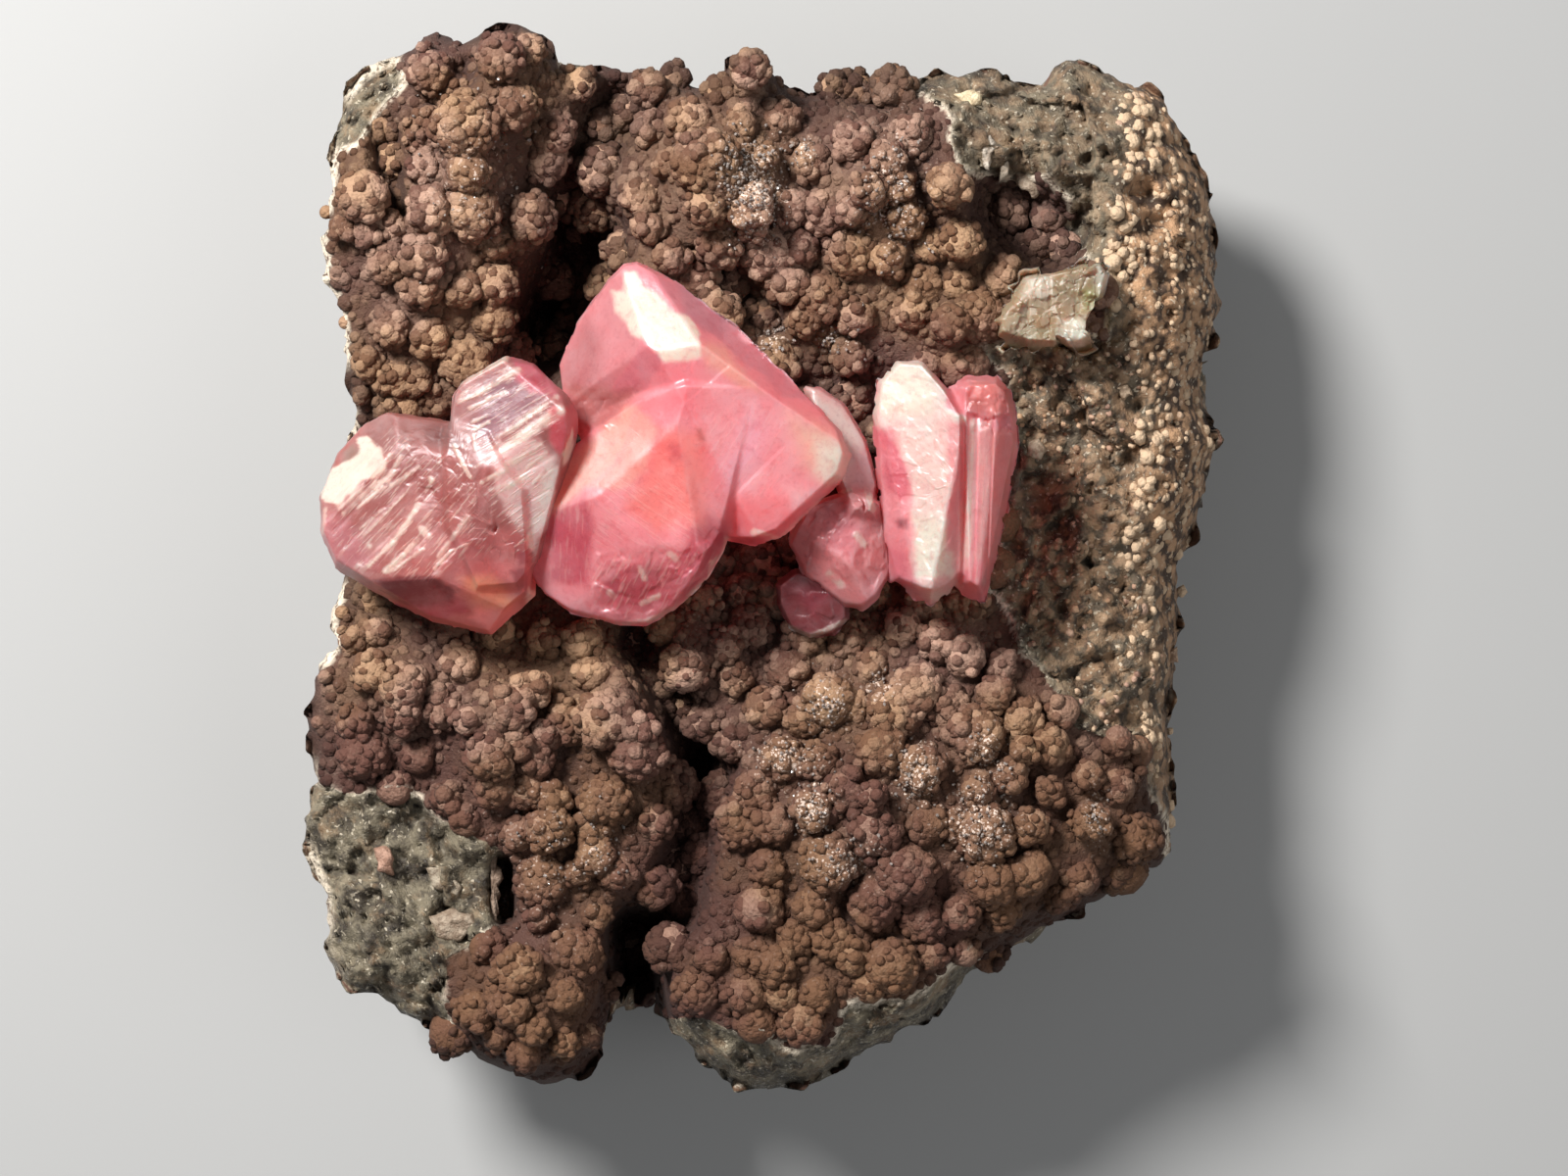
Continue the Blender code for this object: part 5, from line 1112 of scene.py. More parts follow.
class Shader:
    """A material under construction, with object coordinates and a surface shader at its end."""

    def __init__(self, name):
        self.material = bpy.data.materials.new(name)
        self.material.use_nodes = True
        self.tree = self.material.node_tree
        self.tree.nodes.clear()
        self.place = Term(self, self.node("ShaderNodeTexCoord").outputs["Object"])

    def node(self, kind, settings=None, inputs=None):
        """Make a node: its settings first, then the values or links of its sockets, by name or number."""
        made = self.tree.nodes.new(kind)
        for key, value in (settings or {}).items():
            setattr(made, key, value)
        for key, value in (inputs or {}).items():
            if isinstance(value, Term):
                self.tree.links.new(value.socket, made.inputs[key])
            else:
                made.inputs[key].default_value = value
        return made

    def math(self, operation, *terms):
        """Math node on any mix of sockets and numbers."""
        made = self.node("ShaderNodeMath", {"operation": operation}, dict(enumerate(terms)))
        return Term(self, made.outputs[0])

    def noise(self, size, detail=3.0, roughness=0.55, place=None, unit=MM):
        """Noise texture whose features are about size millimetres across."""
        inputs = {"Vector": place or self.place, "Scale": 1 / (size * unit), "Detail": detail,
                  "Roughness": roughness}
        return Term(self, self.node("ShaderNodeTexNoise", None, inputs).outputs["Fac"])

    def cells(self, size, output="Color"):
        """Voronoi cells about size millimetres across: a random colour for each, or the distance in it."""
        made = self.node("ShaderNodeTexVoronoi", None, {"Vector": self.place, "Scale": 1 / (size * MM)})
        return Term(self, made.outputs[output])

    def beads(self, size):
        """Height of small round beads about size millimetres across."""
        return 1 - self.cells(size, "Distance") ** 2

    def grain(self, size):
        """A random value for each cell of about size millimetres."""
        parts = self.node("ShaderNodeSeparateColor", None, {0: self.cells(size)})
        return Term(self, parts.outputs[0])

    def attribute(self, name, output="Fac"):
        """A value kept on the mesh's vertices."""
        return Term(self, self.node("ShaderNodeAttribute", {"attribute_name": name}).outputs[output])

    def ramp(self, value, low, high):
        """0 below low, 1 above high, smooth between."""
        made = self.node("ShaderNodeMapRange", {"interpolation_type": "SMOOTHSTEP"},
                         {"Value": value, "From Min": low, "From Max": high})
        return Term(self, made.outputs["Result"])

    def mix(self, factor, first, second, blend="MIX"):
        """Mix node on two colours, each a socket or three numbers."""
        first, second = [each if isinstance(each, Term) else (*each, 1.0) for each in (first, second)]
        made = self.node("ShaderNodeMix", {"data_type": "RGBA", "blend_type": blend},
                         {0: factor, 6: first, 7: second})
        return Term(self, made.outputs[2])

    def bump(self, height, distance, strength=1.0, under=None):
        """Bump from a height; distance is in millimetres."""
        inputs = {"Height": height, "Distance": distance * MM, "Strength": strength}
        if under is not None:
            inputs["Normal"] = under
        return Term(self, self.node("ShaderNodeBump", None, inputs).outputs["Normal"])

    def finish(self, volume=None, **inputs):
        """Principled shader at the output, and plain absorption inside if a volume is given."""
        named = {key.replace("_", " "): value for key, value in inputs.items()}
        surface = self.node("ShaderNodeBsdfPrincipled", None, named)
        end = self.node("ShaderNodeOutputMaterial", None, {"Surface": Term(self, surface.outputs[0])})
        if volume:
            colour, density = volume
            inputs = {"Color": (*colour, 1.0), "Density": density}
            inner = self.node("ShaderNodeVolumeAbsorption", None, inputs)
            self.tree.links.new(inner.outputs[0], end.inputs["Volume"])
        return self.material


def crust_colour(shader):
    """Crust brown: tan and mauve-brown regions, lighter nodules, painted hollow shade, a dusting of druse.
    """
    own = settings().crust
    region = shader.ramp(shader.noise(6.5, 2.0), 0.35, 0.65)
    fine = shader.noise(0.2, 4.0, 0.65)
    colour = shader.mix(region, own.colour, own.warm_colour)
    light = shader.mix(region, own.pale_colour, own.light_colour)
    tone = shader.attribute("tone")
    colour = shader.mix(shader.ramp(tone + 0.6 * fine, 0.5, 1.4), colour, light)
    # sandy flank nodules: their own tan, lightened as painted light on a slope turned from the lamp
    colour = shader.mix(shader.ramp(tone + 0.4 * fine, 1.15, 1.7), colour, own.painted_lit_sand_colour)
    # painted shade: hollows and the low sides of lumps are darkened
    colour = shader.mix(shader.ramp(shader.attribute("hollow_shade"), 0.0, 1.0) * 0.8, colour, own.painted_shade_colour)
    frost = shader.attribute("frost")
    speck = shader.ramp(shader.grain(0.11) + 0.5 * frost, 0.95, 1.25)
    colour = shader.mix(frost * 0.35, colour, own.light_colour)
    return shader.mix(speck, colour, own.frost_colour)


def crust_bump(shader):
    """Velvety grain of the crust in three sizes."""
    height = 0.35 * shader.beads(0.42) + 0.2 * shader.beads(0.2) + 0.5 * shader.noise(0.2, 4.0)
    return shader.bump(height, 0.24)


def lump_material():
    """Brown crust of the lumps and grains, made once."""
    if "brown crust" in bpy.data.materials:
        return bpy.data.materials["brown crust"]
    shader = Shader("brown crust")
    speck = shader.ramp(shader.grain(0.11) + 0.5 * shader.attribute("frost"), 0.9, 1.2)
    rough = 0.85 - 0.5 * speck
    return shader.finish(Base_Color=crust_colour(shader), Roughness=rough, Normal=crust_bump(shader),
                         Specular_IOR_Level=0.4)


def rock_material():
    """Block: brown crust, bare host rock with glints and tan specks, a pale rim partly lit, painted shade
    and glow.
    """
    own = settings().rock
    shader = Shader("crust and host rock")
    bare = shader.ramp(shader.attribute("bare") + 0.25 * (shader.noise(0.5) - 0.5), 0.4, 0.6)
    sand = shader.attribute("sand")
    cell = shader.grain(0.15)
    stone = shader.mix(shader.ramp(shader.noise(1.3, 5.0, 0.65), 0.36, 0.62), own.dark_colour,
                       own.grey_colour)
    stone = shader.mix(shader.ramp(shader.noise(1.8, 5.0, 0.65), 0.5, 0.66) * 0.5, stone, own.tan_colour)
    stone = shader.mix(shader.ramp(shader.noise(0.3, 3.0), 0.55, 0.8) * 0.2, stone, PORE_COLOUR)
    run = shader.attribute("run", "Vector")
    fibre = shader.ramp(shader.noise(0.3, 5.0, 0.75, run, 1), 0.46, 0.7)
    stone = shader.mix(fibre * 0.25, stone, own.fibre_colour)
    stone = shader.mix(shader.ramp(shader.noise(2.0, 4.0, 0.6), 0.55, 0.68) * 0.4, stone, own.fibre_colour)
    pale = shader.ramp(shader.noise(0.7, 5.0, 0.7), 0.57, 0.66)
    stone = shader.mix(pale * 0.35, stone, own.pale_colour)
    stone = shader.mix(shader.ramp(shader.noise(1.0, 4.0, 0.65), 0.46, 0.36) * 0.6, stone, own.dark_colour)
    # sandy flank: its own tan with dark pits, lightened as painted light on a slope turned from the lamp
    sandy = shader.mix(shader.ramp(0.6 * shader.beads(0.8) + 0.8 * shader.noise(0.8, 5.0, 0.65), 0.7, 0.95),
                       own.pit_colour, own.painted_lit_sand_colour)
    stone = shader.mix(sand * 0.9, stone, sandy)
    stone = shader.mix(shader.ramp(cell, 0.93, 0.98) * 0.6, stone, own.glint_colour)
    # painted shade in the hollows of the bare stone
    stone = shader.mix(shader.ramp(shader.attribute("hollow_shade"), 0.15, 0.9) * 0.45, stone, STONE_PAINTED_SHADE)
    colour = shader.mix(bare, crust_colour(shader), stone)
    # pale broken edge of the crust, partly painted light where the left edge faces the lamp
    rim = shader.attribute("rim") * shader.ramp(shader.noise(0.35), 0.3, 0.55)
    colour = shader.mix(rim, colour, own.rim_and_lit_edge_colour)
    # painted glow: stone under the crystals turned pale pink, so that they seem lit from within
    colour = shader.mix(shader.attribute("socket"), colour, own.socket_glow_colour)
    roughness = 0.85 - bare * (1 - 0.7 * sand) * (0.1 + 0.5 * shader.ramp(cell, 0.6, 1.0))
    height = 0.4 * shader.noise(0.4, 4.0) + 0.35 * shader.noise(0.12, 3.0)
    height = height + bare * (0.3 * cell + 0.15 * fibre)
    return shader.finish(Base_Color=colour, Roughness=roughness, Normal=shader.bump(height, 0.3))


def chip_material():
    """Pale mineral with fine stains."""
    shader = Shader("pale chips")
    stain = shader.ramp(shader.noise(0.5, 5.0, 0.7), 0.38, 0.62)
    colour = shader.mix(stain * 0.8, shader.attribute("paint", "Color"), CHIP_STAIN, "MULTIPLY")
    height = shader.noise(0.4, 5.0, 0.65)
    return shader.finish(Base_Color=colour, Roughness=0.6, Normal=shader.bump(height, 0.3))


def druse_material():
    """Sugary white crystals on the crust."""
    shader = Shader("white druse")
    colour = shader.mix(shader.noise(0.4), *DRUSE_COLOURS)
    return shader.finish(Base_Color=colour, Roughness=0.15, Transmission_Weight=0.5)


def crystal_material(name, slot, own):
    """Clear crystal: painted body colour with cloudy veils, plain transmission and absorption inside."""
    shader = Shader(name)
    veil, dusky, depth = CLARITY[slot]
    paint = shader.attribute("paint", "Color")
    cloud = shader.ramp(shader.noise(1.6, 4.0, 0.6), 0.4, 0.75)
    dusk = shader.ramp(shader.noise(0.7, 5.0, 0.7), 0.5, 0.66)
    thread = shader.ramp(shader.noise(0.22, 4.0, 0.7), 0.5, 0.66)
    run = shader.attribute("run", "Vector")
    lines = shader.attribute("lines")
    hair = shader.ramp(shader.noise(0.16, 2.0, place=run, unit=1), 0.52, 0.62)
    furrow = shader.ramp(shader.noise(0.3, 2.0, place=run, unit=1), 0.55, 0.4)
    colour = shader.mix(cloud * 0.14, paint, veil, "SCREEN")
    colour = shader.mix(dusk * 0.35, colour, dusky, "MULTIPLY")
    colour = shader.mix(thread * 0.3, colour, dusky, "MULTIPLY")
    colour = shader.mix(lines * hair * 0.6, colour, CREAM)
    colour = shader.mix(lines * furrow * 0.5, colour, dusky, "MULTIPLY")
    roughness = 0.36 + 0.22 * cloud
    height = 0.6 * shader.noise(0.8, 4.0) + 0.3 * shader.noise(0.18, 4.0) + 0.8 * lines * hair
    return shader.finish(volume=(depth, own.depth_density), Base_Color=colour,
                         Roughness=roughness, Normal=shader.bump(height, 0.035), IOR=own.ior,
                         Transmission_Weight=own.transmission, Subsurface_Weight=own.glow,
                         Subsurface_Radius=GLOW_SPREAD, Subsurface_Scale=GLOW_DEPTH * MM)


# ------------------------------------------------------------------------------------------------ pieces

def lump_places():
    """The lumps' centres as plan positions with heights, and their radii."""
    lumps = lump_list()
    level = ground(lumps[:, 0], lumps[:, 1]) + lumps[:, 3]
    return lumps, level


def fibre_run(x, y, z):
    """Places turned and shortened so that a pattern runs in long fibres along the ridges of the rock."""
    slant, run = slanted(x, y)
    return np.column_stack([slant, 0.15 * run, 0.2 * z])


def lower_falloff_shade(y):
    """0 over the upper half of the block, rising to 1 along its lower edge: painted shade for the light
    falling off there.
    """
    return smoothstep(-4, -17, y)


def rock_attributes(x, y, hollow_shade):
    """Masks of the block's top at plan positions: bare rock, pale lit rim, sandy flank, painted shade and
    glow.
    """
    bare = bareness(x, y)
    edge = depth_in(x, y, OUTLINE)
    rim = 1 - smoothstep(0.4 * RIM_WIDTH, RIM_WIDTH, np.abs(bare))
    rim = rim * smoothstep(-0.6, 0.4, noise(x, y, 0, 3.5, 51))
    # along the left outline the pale rim is partly painted light: the edge lit by the key light
    lit_left_rim = smoothstep(-0.5, 0.2, noise(x, y, 0, 2.2, 55)) * (x < PALE_EDGE)
    rim = np.maximum(rim, lit_left_rim * (1 - smoothstep(0.6 * RIM_INSET, 1.2 * RIM_INSET, edge)))
    tinge = [share * smoothstep(-0.5, 1.5, depth_in(x, y, patch))
             for patch, share in ((HOST_RIGHT, 0.5), (HOST_UPPER_RIGHT, 0.25), (SANDY_FLANK, 1.0))]
    # tone: random, and lower towards the lower edge as painted shade of the light's falloff
    tone = 0.45 + 0.25 * noise(x, y, 0, 1.8, 53) - 0.3 * lower_falloff_shade(y)
    return {"bare": smoothstep(-0.15, 0.15, bare), "rim": rim, "hollow_shade": hollow_shade,
            "sand": np.max(tinge, axis=0), "tone": tone,
            # socket: where the painted glow under the crystals goes
            "frost": 0.5 * frostiness(x, y), "socket": smoothstep(1.0, 1.6, under_crystals(x, y)),
            "run": fibre_run(x, y, 0 * x)}


def build_chips():
    """Pale chips and plates on the top: uneven outlines in rings that round over towards the middle."""
    lumps, level = lump_places()
    vertices, faces, paint = [], [], []
    for number, (outline, rise, colour) in enumerate(CHIPS):
        edge = even(np.array(outline + outline[:1]), CHIP_COLUMNS + 1)[:-1]
        edge = edge + 0.16 * np.column_stack([noise(*edge.T, 0, 0.4, seed) for seed in (17, 18)])
        middle = edge.mean(axis=0)
        foot = top_surface(edge[:, 0], edge[:, 1], lumps, level).mean()
        rings = []
        for share, lift in ((0.3, 1.0), (0.6, 0.95), (0.85, 0.8), (1.0, 0.3), (1.0, -2.5)):
            ring = middle + share * (edge - middle)
            height = foot + lift * rise + 0.15 * noise(*ring.T, 0, 0.45, 19)
            rings.append(np.column_stack([ring, height]))
        top, base = [np.append(middle, rings[row][:, 2].mean()) for row in (0, -1)]
        chip, blocks = ring_stack(np.array(rings), top, base)
        vertices.append(chip)
        faces += [block + number * len(chip) for block in blocks]
        paint.append(np.tile(colour, (len(chip), 1)))
    chips = made_mesh("chips", placed(np.vstack(vertices)), faces, {"paint": np.vstack(paint)})
    finished(chips, chip_material())


def blurred(grid, span):
    """Running mean of a grid over a square window, its border repeated outwards."""
    padded = np.pad(grid, span, mode="edge")
    total = np.cumsum(np.cumsum(np.pad(padded, ((1, 0), (1, 0))), axis=0), axis=1)
    size = 2 * span + 1
    window = total[size:, size:] - total[:-size, size:] - total[size:, :-size] + total[:-size, :-size]
    return window / size ** 2


def build_rock():
    """The block: a grid over the top, broken walls as rings under its border, and a flat underside."""
    lumps, level = lump_places()
    plan = plan_grid(TOP_COLUMNS, TOP_ROWS)
    x, y = plan[..., 0], plan[..., 1]
    top = np.dstack([plan, top_surface(x, y, lumps, level)])
    index = np.arange(x.size).reshape(x.shape)
    border = np.concatenate([index[0, :-1], index[:-1, -1], index[-1, :0:-1], index[:0:-1, 0]])
    rim = top.reshape(-1, 3)[border]
    along = np.cumsum(np.linalg.norm(np.diff(rim[:, :2], axis=0, append=rim[:1, :2]), axis=1))
    rings = [wall_ring(rim, (row / WALL_ROWS) ** WALL_GATHER, along) for row in range(1, WALL_ROWS + 1)]
    foot = drawn_in(rings[-1], FOOT_INSET * (1 + FOOT_SWAY * noise(*rings[-1].T, SLOW_CELL, 14)))
    foot[:, 2] = 0
    rings.append(foot)
    middle = np.append(foot[:, :2].mean(axis=0), 0)
    rings = np.array(rings)
    vertices = np.vstack([top.reshape(-1, 3), rings.reshape(-1, 3), middle])
    quads = [np.column_stack([index[:-1, :-1].ravel(), index[:-1, 1:].ravel(), index[1:, 1:].ravel(),
                              index[1:, :-1].ravel()])]
    upper = border
    for number in range(len(rings)):
        lower = index.size + number * len(border) + np.arange(len(border))
        quads.append(band(upper, lower))
        upper = lower
    base = np.column_stack([upper, np.full(len(upper), len(vertices) - 1), np.roll(upper, -1)])
    # painted shade: depth under the mean height around each place, and on the crust its hollow shading too
    hollow_shade = (blurred(top[..., 2], HOLLOW_SPAN) - top[..., 2]) / HOLLOW_DEPTH
    crusted = np.maximum(hollow_shade, hollow_shading(top[..., 2], ground(x, y)))
    hollow_shade = np.where(bareness(x, y) < 0, crusted, hollow_shade)
    masks = rock_attributes(x.ravel(), y.ravel(), hollow_shade.ravel())
    wall_x, wall_y, wall_z = rings.reshape(-1, 3).T
    lip = smoothstep(-2.6, -0.4, wall_z - np.tile(rim[:, 2], len(rings)))
    # wall rim under the lip, stronger on the left: the pale broken crust, partly painted light on the lit
    # edge
    seam = smoothstep(-0.1, 0.3, noise(wall_x, wall_y, 0, 2.4, 56) + 0.5 * (wall_x < PALE_EDGE))
    below = {"bare": 1 - lip, "rim": seam * smoothstep(0.3, 0.9, lip) * (1 - smoothstep(0.9, 1.0, lip)),
             "sand": 0.2 + 0.3 * noise(wall_x, wall_y, wall_z, 3.0, 54), "tone": 0.4 + 0 * wall_z,
             "run": fibre_run(wall_x, wall_y, wall_z)}
    below.update({key: 0 * wall_z for key in ("hollow_shade", "frost", "socket")})
    masks = {key: np.concatenate([masks[key], below[key], below[key][-1:]]) for key in masks}
    rock = made_mesh("rock", placed(vertices), [np.vstack(quads), base], masks)
    finished(rock, rock_material(), "matrix")


def build_lumps():
    """The crust's larger lumps: uneven balls, with painted shade low down and painted light on their tops.
    """
    lumps, level = lump_places()
    centres = np.column_stack([lumps[:, :2], level])
    unit = ball(np.linspace(0, math.pi, LUMP_RINGS + 2)[1:-1], LUMP_COLUMNS)
    up = np.tile([0.0, 0.0, 1.0], (len(lumps), 1))
    vertices, faces, owner = scattered(unit, centres, up, lumps[:, 2], LUMP_SQUASH, 0.0, 61)
    x, y, z = vertices.T
    swell = 0.10 * noise(x, y, z, 0.9, 62) + 0.06 * noise(x, y, z, 0.45, 63)
    vertices = centres[owner] + (vertices - centres[owner]) * (1 + swell[:, None])
    rise = (vertices[:, 2] - centres[owner, 2]) / lumps[owner, 2]
    own_tone = np.random.default_rng(64).uniform(-1, 1, len(lumps))[owner]
    # tone: each lump's own random tone, its top painted lighter as if lit, and painted falloff shade low on
    # the block
    tone = 0.5 + 0.35 * own_tone + 0.15 * rise - 0.3 * lower_falloff_shade(y)
    # painted shade on the lower part of each lump
    lumps_piece = made_mesh("crust_lumps", placed(vertices), faces,
                            {"tone": tone, "hollow_shade": smoothstep(0.5, -0.6, rise), "frost": frostiness(x, y)})
    finished(lumps_piece, lump_material())


def lump_depth(places, lumps, level):
    """Distance of places from each lump's centre, as a share of the lump's radius."""
    centres = np.column_stack([lumps[:, :2], level])
    offset = (places[:, None] - centres) / [1, 1, LUMP_SQUASH]
    return np.linalg.norm(offset, axis=2) / lumps[:, 2]


def lump_grains(lumps, level, spacing, draw):
    """Places and normals over each lump: even steps down a spiral that turns by the golden angle."""
    counts = (10 * (lumps[:, 2] / spacing) ** 2).astype(int)
    number = np.arange(counts.max())
    height = 1 - 1.5 * (number + 0.5) / counts[:, None]
    angle = number * GOLDEN_ANGLE + draw.uniform(0, 2 * math.pi, (len(lumps), 1))
    used = number < counts[:, None]
    across = np.sqrt(np.clip(1 - height ** 2, 0, 1))
    normals = np.dstack([across * np.cos(angle), across * np.sin(angle), height])[used]
    owner = np.repeat(np.arange(len(lumps)), counts)
    places = np.column_stack([lumps[:, :2], level])[owner]
    places += normals * lumps[owner, 2:3] * [1, 1, LUMP_SQUASH]
    places += draw.normal(0, 0.15 * spacing, places.shape)
    depth = lump_depth(places, lumps, level)
    depth[np.arange(len(places)), owner] = 2
    x, y, z = places.T
    clear = (depth.min(axis=1) > 0.9) & ((z > ground(x, y) - 0.2) | (depth_in(x, y, OUTLINE) < 0))
    return places[clear], normals[clear]


def ground_slope(x, y):
    """Steepness of the ground and its unit normals, from its rise over a short step along X and along Y."""
    z = ground(x, y)
    slope_x = (ground(x + SLOPE_STEP, y) - z) / SLOPE_STEP
    slope_y = (ground(x, y + SLOPE_STEP) - z) / SLOPE_STEP
    normals = np.column_stack([-slope_x, -slope_y, np.ones(len(x))])
    return np.hypot(slope_x, slope_y), unit_length(normals)


def lattice(reach, step):
    """Places of a square lattice over a stretch along X and the whole length along Y."""
    return [axis.ravel() for axis in np.meshgrid(np.arange(*reach, step), np.arange(-28, 28, step))]


def ground_grains(lumps, level, spacing, draw):
    """Places and normals on the ground between lumps: a jittered lattice, with a second one on slopes."""
    step = 0.95 * spacing
    x, y = [np.tile(axis, 2) for axis in lattice((-24, 24), step)]
    second = np.arange(len(x)) >= len(x) // 2
    x = x + draw.uniform(-0.45, 0.45, x.size) * step + 0.5 * step * second
    y = y + draw.uniform(-0.45, 0.45, y.size) * step + 0.5 * step * second
    within = depth_in(x, y, OUTLINE) > 0.15
    x, y, second = x[within], y[within], second[within]
    places = np.column_stack([x, y, ground(x, y)])
    steepness, normals = ground_slope(x, y)
    clear = lump_depth(places, lumps, level).min(axis=1) > 0.95
    clear &= ~second | (steepness > 0.9)
    return places[clear], normals[clear]


def flank_grains(lumps, level, spacing, draw):
    """Places and normals on bare rock: a jittered lattice, full on the sandy flank and thin beside it."""
    x, y = lattice((8, 25), 0.8 * spacing)
    x = x + draw.uniform(-0.4, 0.4, x.size) * spacing
    y = y + draw.uniform(-0.4, 0.4, y.size) * spacing
    beside = 0.45 * (noise(x, y, 0, 1.6, 72) > -0.2) * (depth_in(x, y, HOST_RIGHT) > 0)
    crowded = 0.9 * sandiness(x, y) * (noise(x, y, 0, 1.1, 78) > -0.25)
    clear = draw.uniform(0, 1, x.size) < np.maximum(crowded, beside)
    clear &= (bareness(x, y) > 0.1) & (depth_in(x, y, OUTLINE) > 0.1)
    x, y = x[clear], y[clear]
    return np.column_stack([x, y, top_surface(x, y, lumps, level)]), ground_slope(x, y)[1]


def frostiness(x, y):
    """How white with druse a plan position is: the strongest of the patches, fading outwards."""
    shares = [strength * np.exp(-((x - cx) / reach_x) ** 2 - ((y - cy) / reach_y) ** 2)
              for (cx, cy), reach_x, reach_y, strength, _ in DRUSE_PATCHES]
    return np.max(shares, axis=0)


def build_grains():
    """The nodules that cover the crust, as half-sunk uneven beads, in pieces by their place in plan."""
    own = settings().crust
    lumps, level = lump_places()
    draw = np.random.default_rng(71)
    sets = [grains(lumps, level, own.grain_spacing, draw)
            for grains in (lump_grains, ground_grains, flank_grains)]
    place, normal = [np.vstack(parts) for parts in zip(*sets)]
    x, y, z = place.T
    on_flank = np.arange(len(x)) >= len(x) - len(sets[2][0])
    keep = (on_flank | (bareness(x, y) < -0.1)) & (under_crystals(x, y) < 0.2) & (z > FOOT_HEIGHT)
    keep &= depth_in(x, y, OUTLINE) > np.where(x < PALE_EDGE, RIM_INSET, np.where(x > 17, 0.1, -2))
    place, normal, on_flank = place[keep], normal[keep], on_flank[keep]
    x, y, z = place.T
    coarse = smoothstep(-0.5, 0.5, noise(x, y, z, 3.2, 73))
    share = draw.uniform(0, 1, len(place)) ** 1.6
    radius = own.grain_spacing * (own.grain_smallest + (own.grain_largest - own.grain_smallest) * share)
    radius *= np.where(on_flank, 0.5 + 0.65 * sandiness(x, y) * coarse, 0.85 + 0.3 * coarse)
    sink = radius * draw.uniform(0.3, 0.8, len(place))
    # painted shade for grains low in hollows, none on the flank
    hollow_shade = hollow_shading(z, ground(x, y)) * (1 - on_flank)
    place = place - normal * sink[:, None]
    tone = 0.5 + 0.3 * draw.uniform(-1, 1, len(place)) + 0.25 * (coarse - 0.5)
    # painted shade: crust grains darker towards the lower edge, where the light falls off
    tone -= 0.45 * lower_falloff_shade(y) * (1 - on_flank)
    # flank grains toned up towards the lightened sand colour, partly painted light
    tone += on_flank * (0.3 + 0.6 * sandiness(x, y) + draw.uniform(0, 0.5, len(place)))
    frost = frostiness(x, y) * smoothstep(-0.2, 0.5, normal[:, 2] + 0.3 * noise(x, y, z, 1.0, 75))
    regions = [y > 0.0, (y <= 0) & (x < -3), (y <= 0) & (x >= -3)]
    bead = ball(np.radians(GRAIN_LATITUDES), GRAIN_COLUMNS)
    for name, region in zip(("upper", "lower_left", "lower_right"), regions):
        vertices, faces, owner = scattered(bead, place[region], normal[region], radius[region],
                                           0.95, 0.06, 74)
        heart = place[region][owner]
        swell = 0.13 * noise(*vertices.T, 0.55, 76) + 0.07 * noise(*vertices.T, 0.25, 77)
        vertices = heart + (vertices - heart) * (1 + swell[:, None])
        grains = made_mesh("crust_grains_" + name, placed(vertices), faces,
                           {"tone": tone[region][owner], "hollow_shade": hollow_shade[region][owner],
                            "frost": frost[region][owner]})
        finished(grains, lump_material())


def painted(group, x, y, z, crease):
    """Body colour at plan positions: own colour, then each zone and streak laid over it, some as painted
    light.
    """
    colour = np.tile(group["colour"], (len(x), 1))
    wobble_x = x + 0.15 * noise(x, y, z, 1.1, 81) + 0.10 * noise(x, y, z, 0.4, 85)
    wobble_y = y + 0.15 * noise(x, y, z, 1.1, 82) + 0.10 * noise(x, y, z, 0.4, 86)
    for corners, tint, strength, softness in group["zones"]:
        soft = ZONE_SOFTENING * softness
        share = strength * smoothstep(-soft, soft, depth_in(wobble_x, wobble_y, corners))
        colour = colour * (1 - share[:, None]) + np.array(tint) * share[:, None]
    broken = smoothstep(-1.1, -0.3, noise(x, y, 0, 0.5, 83))
    uneven = 0.05 * noise(x, y, z, 0.15, 87)
    # streaks: cream along each pale step, partly its own pale colour and partly painted glint of the light
    for ax, ay, bx, by, width, strength in group["streaks"]:
        ragged = line_distance(x, y, (ax, ay), (bx, by)) + uneven
        share = STREAK_STRENGTH * strength * broken * (1 - smoothstep(0.5 * width, 1.3 * width, ragged))
        colour = colour * (1 - share[:, None]) + np.array(CREAM) * share[:, None]
    share = 0.15 * crease[:, None]
    return colour * (1 - share) + np.array(PALE_PINK) * share


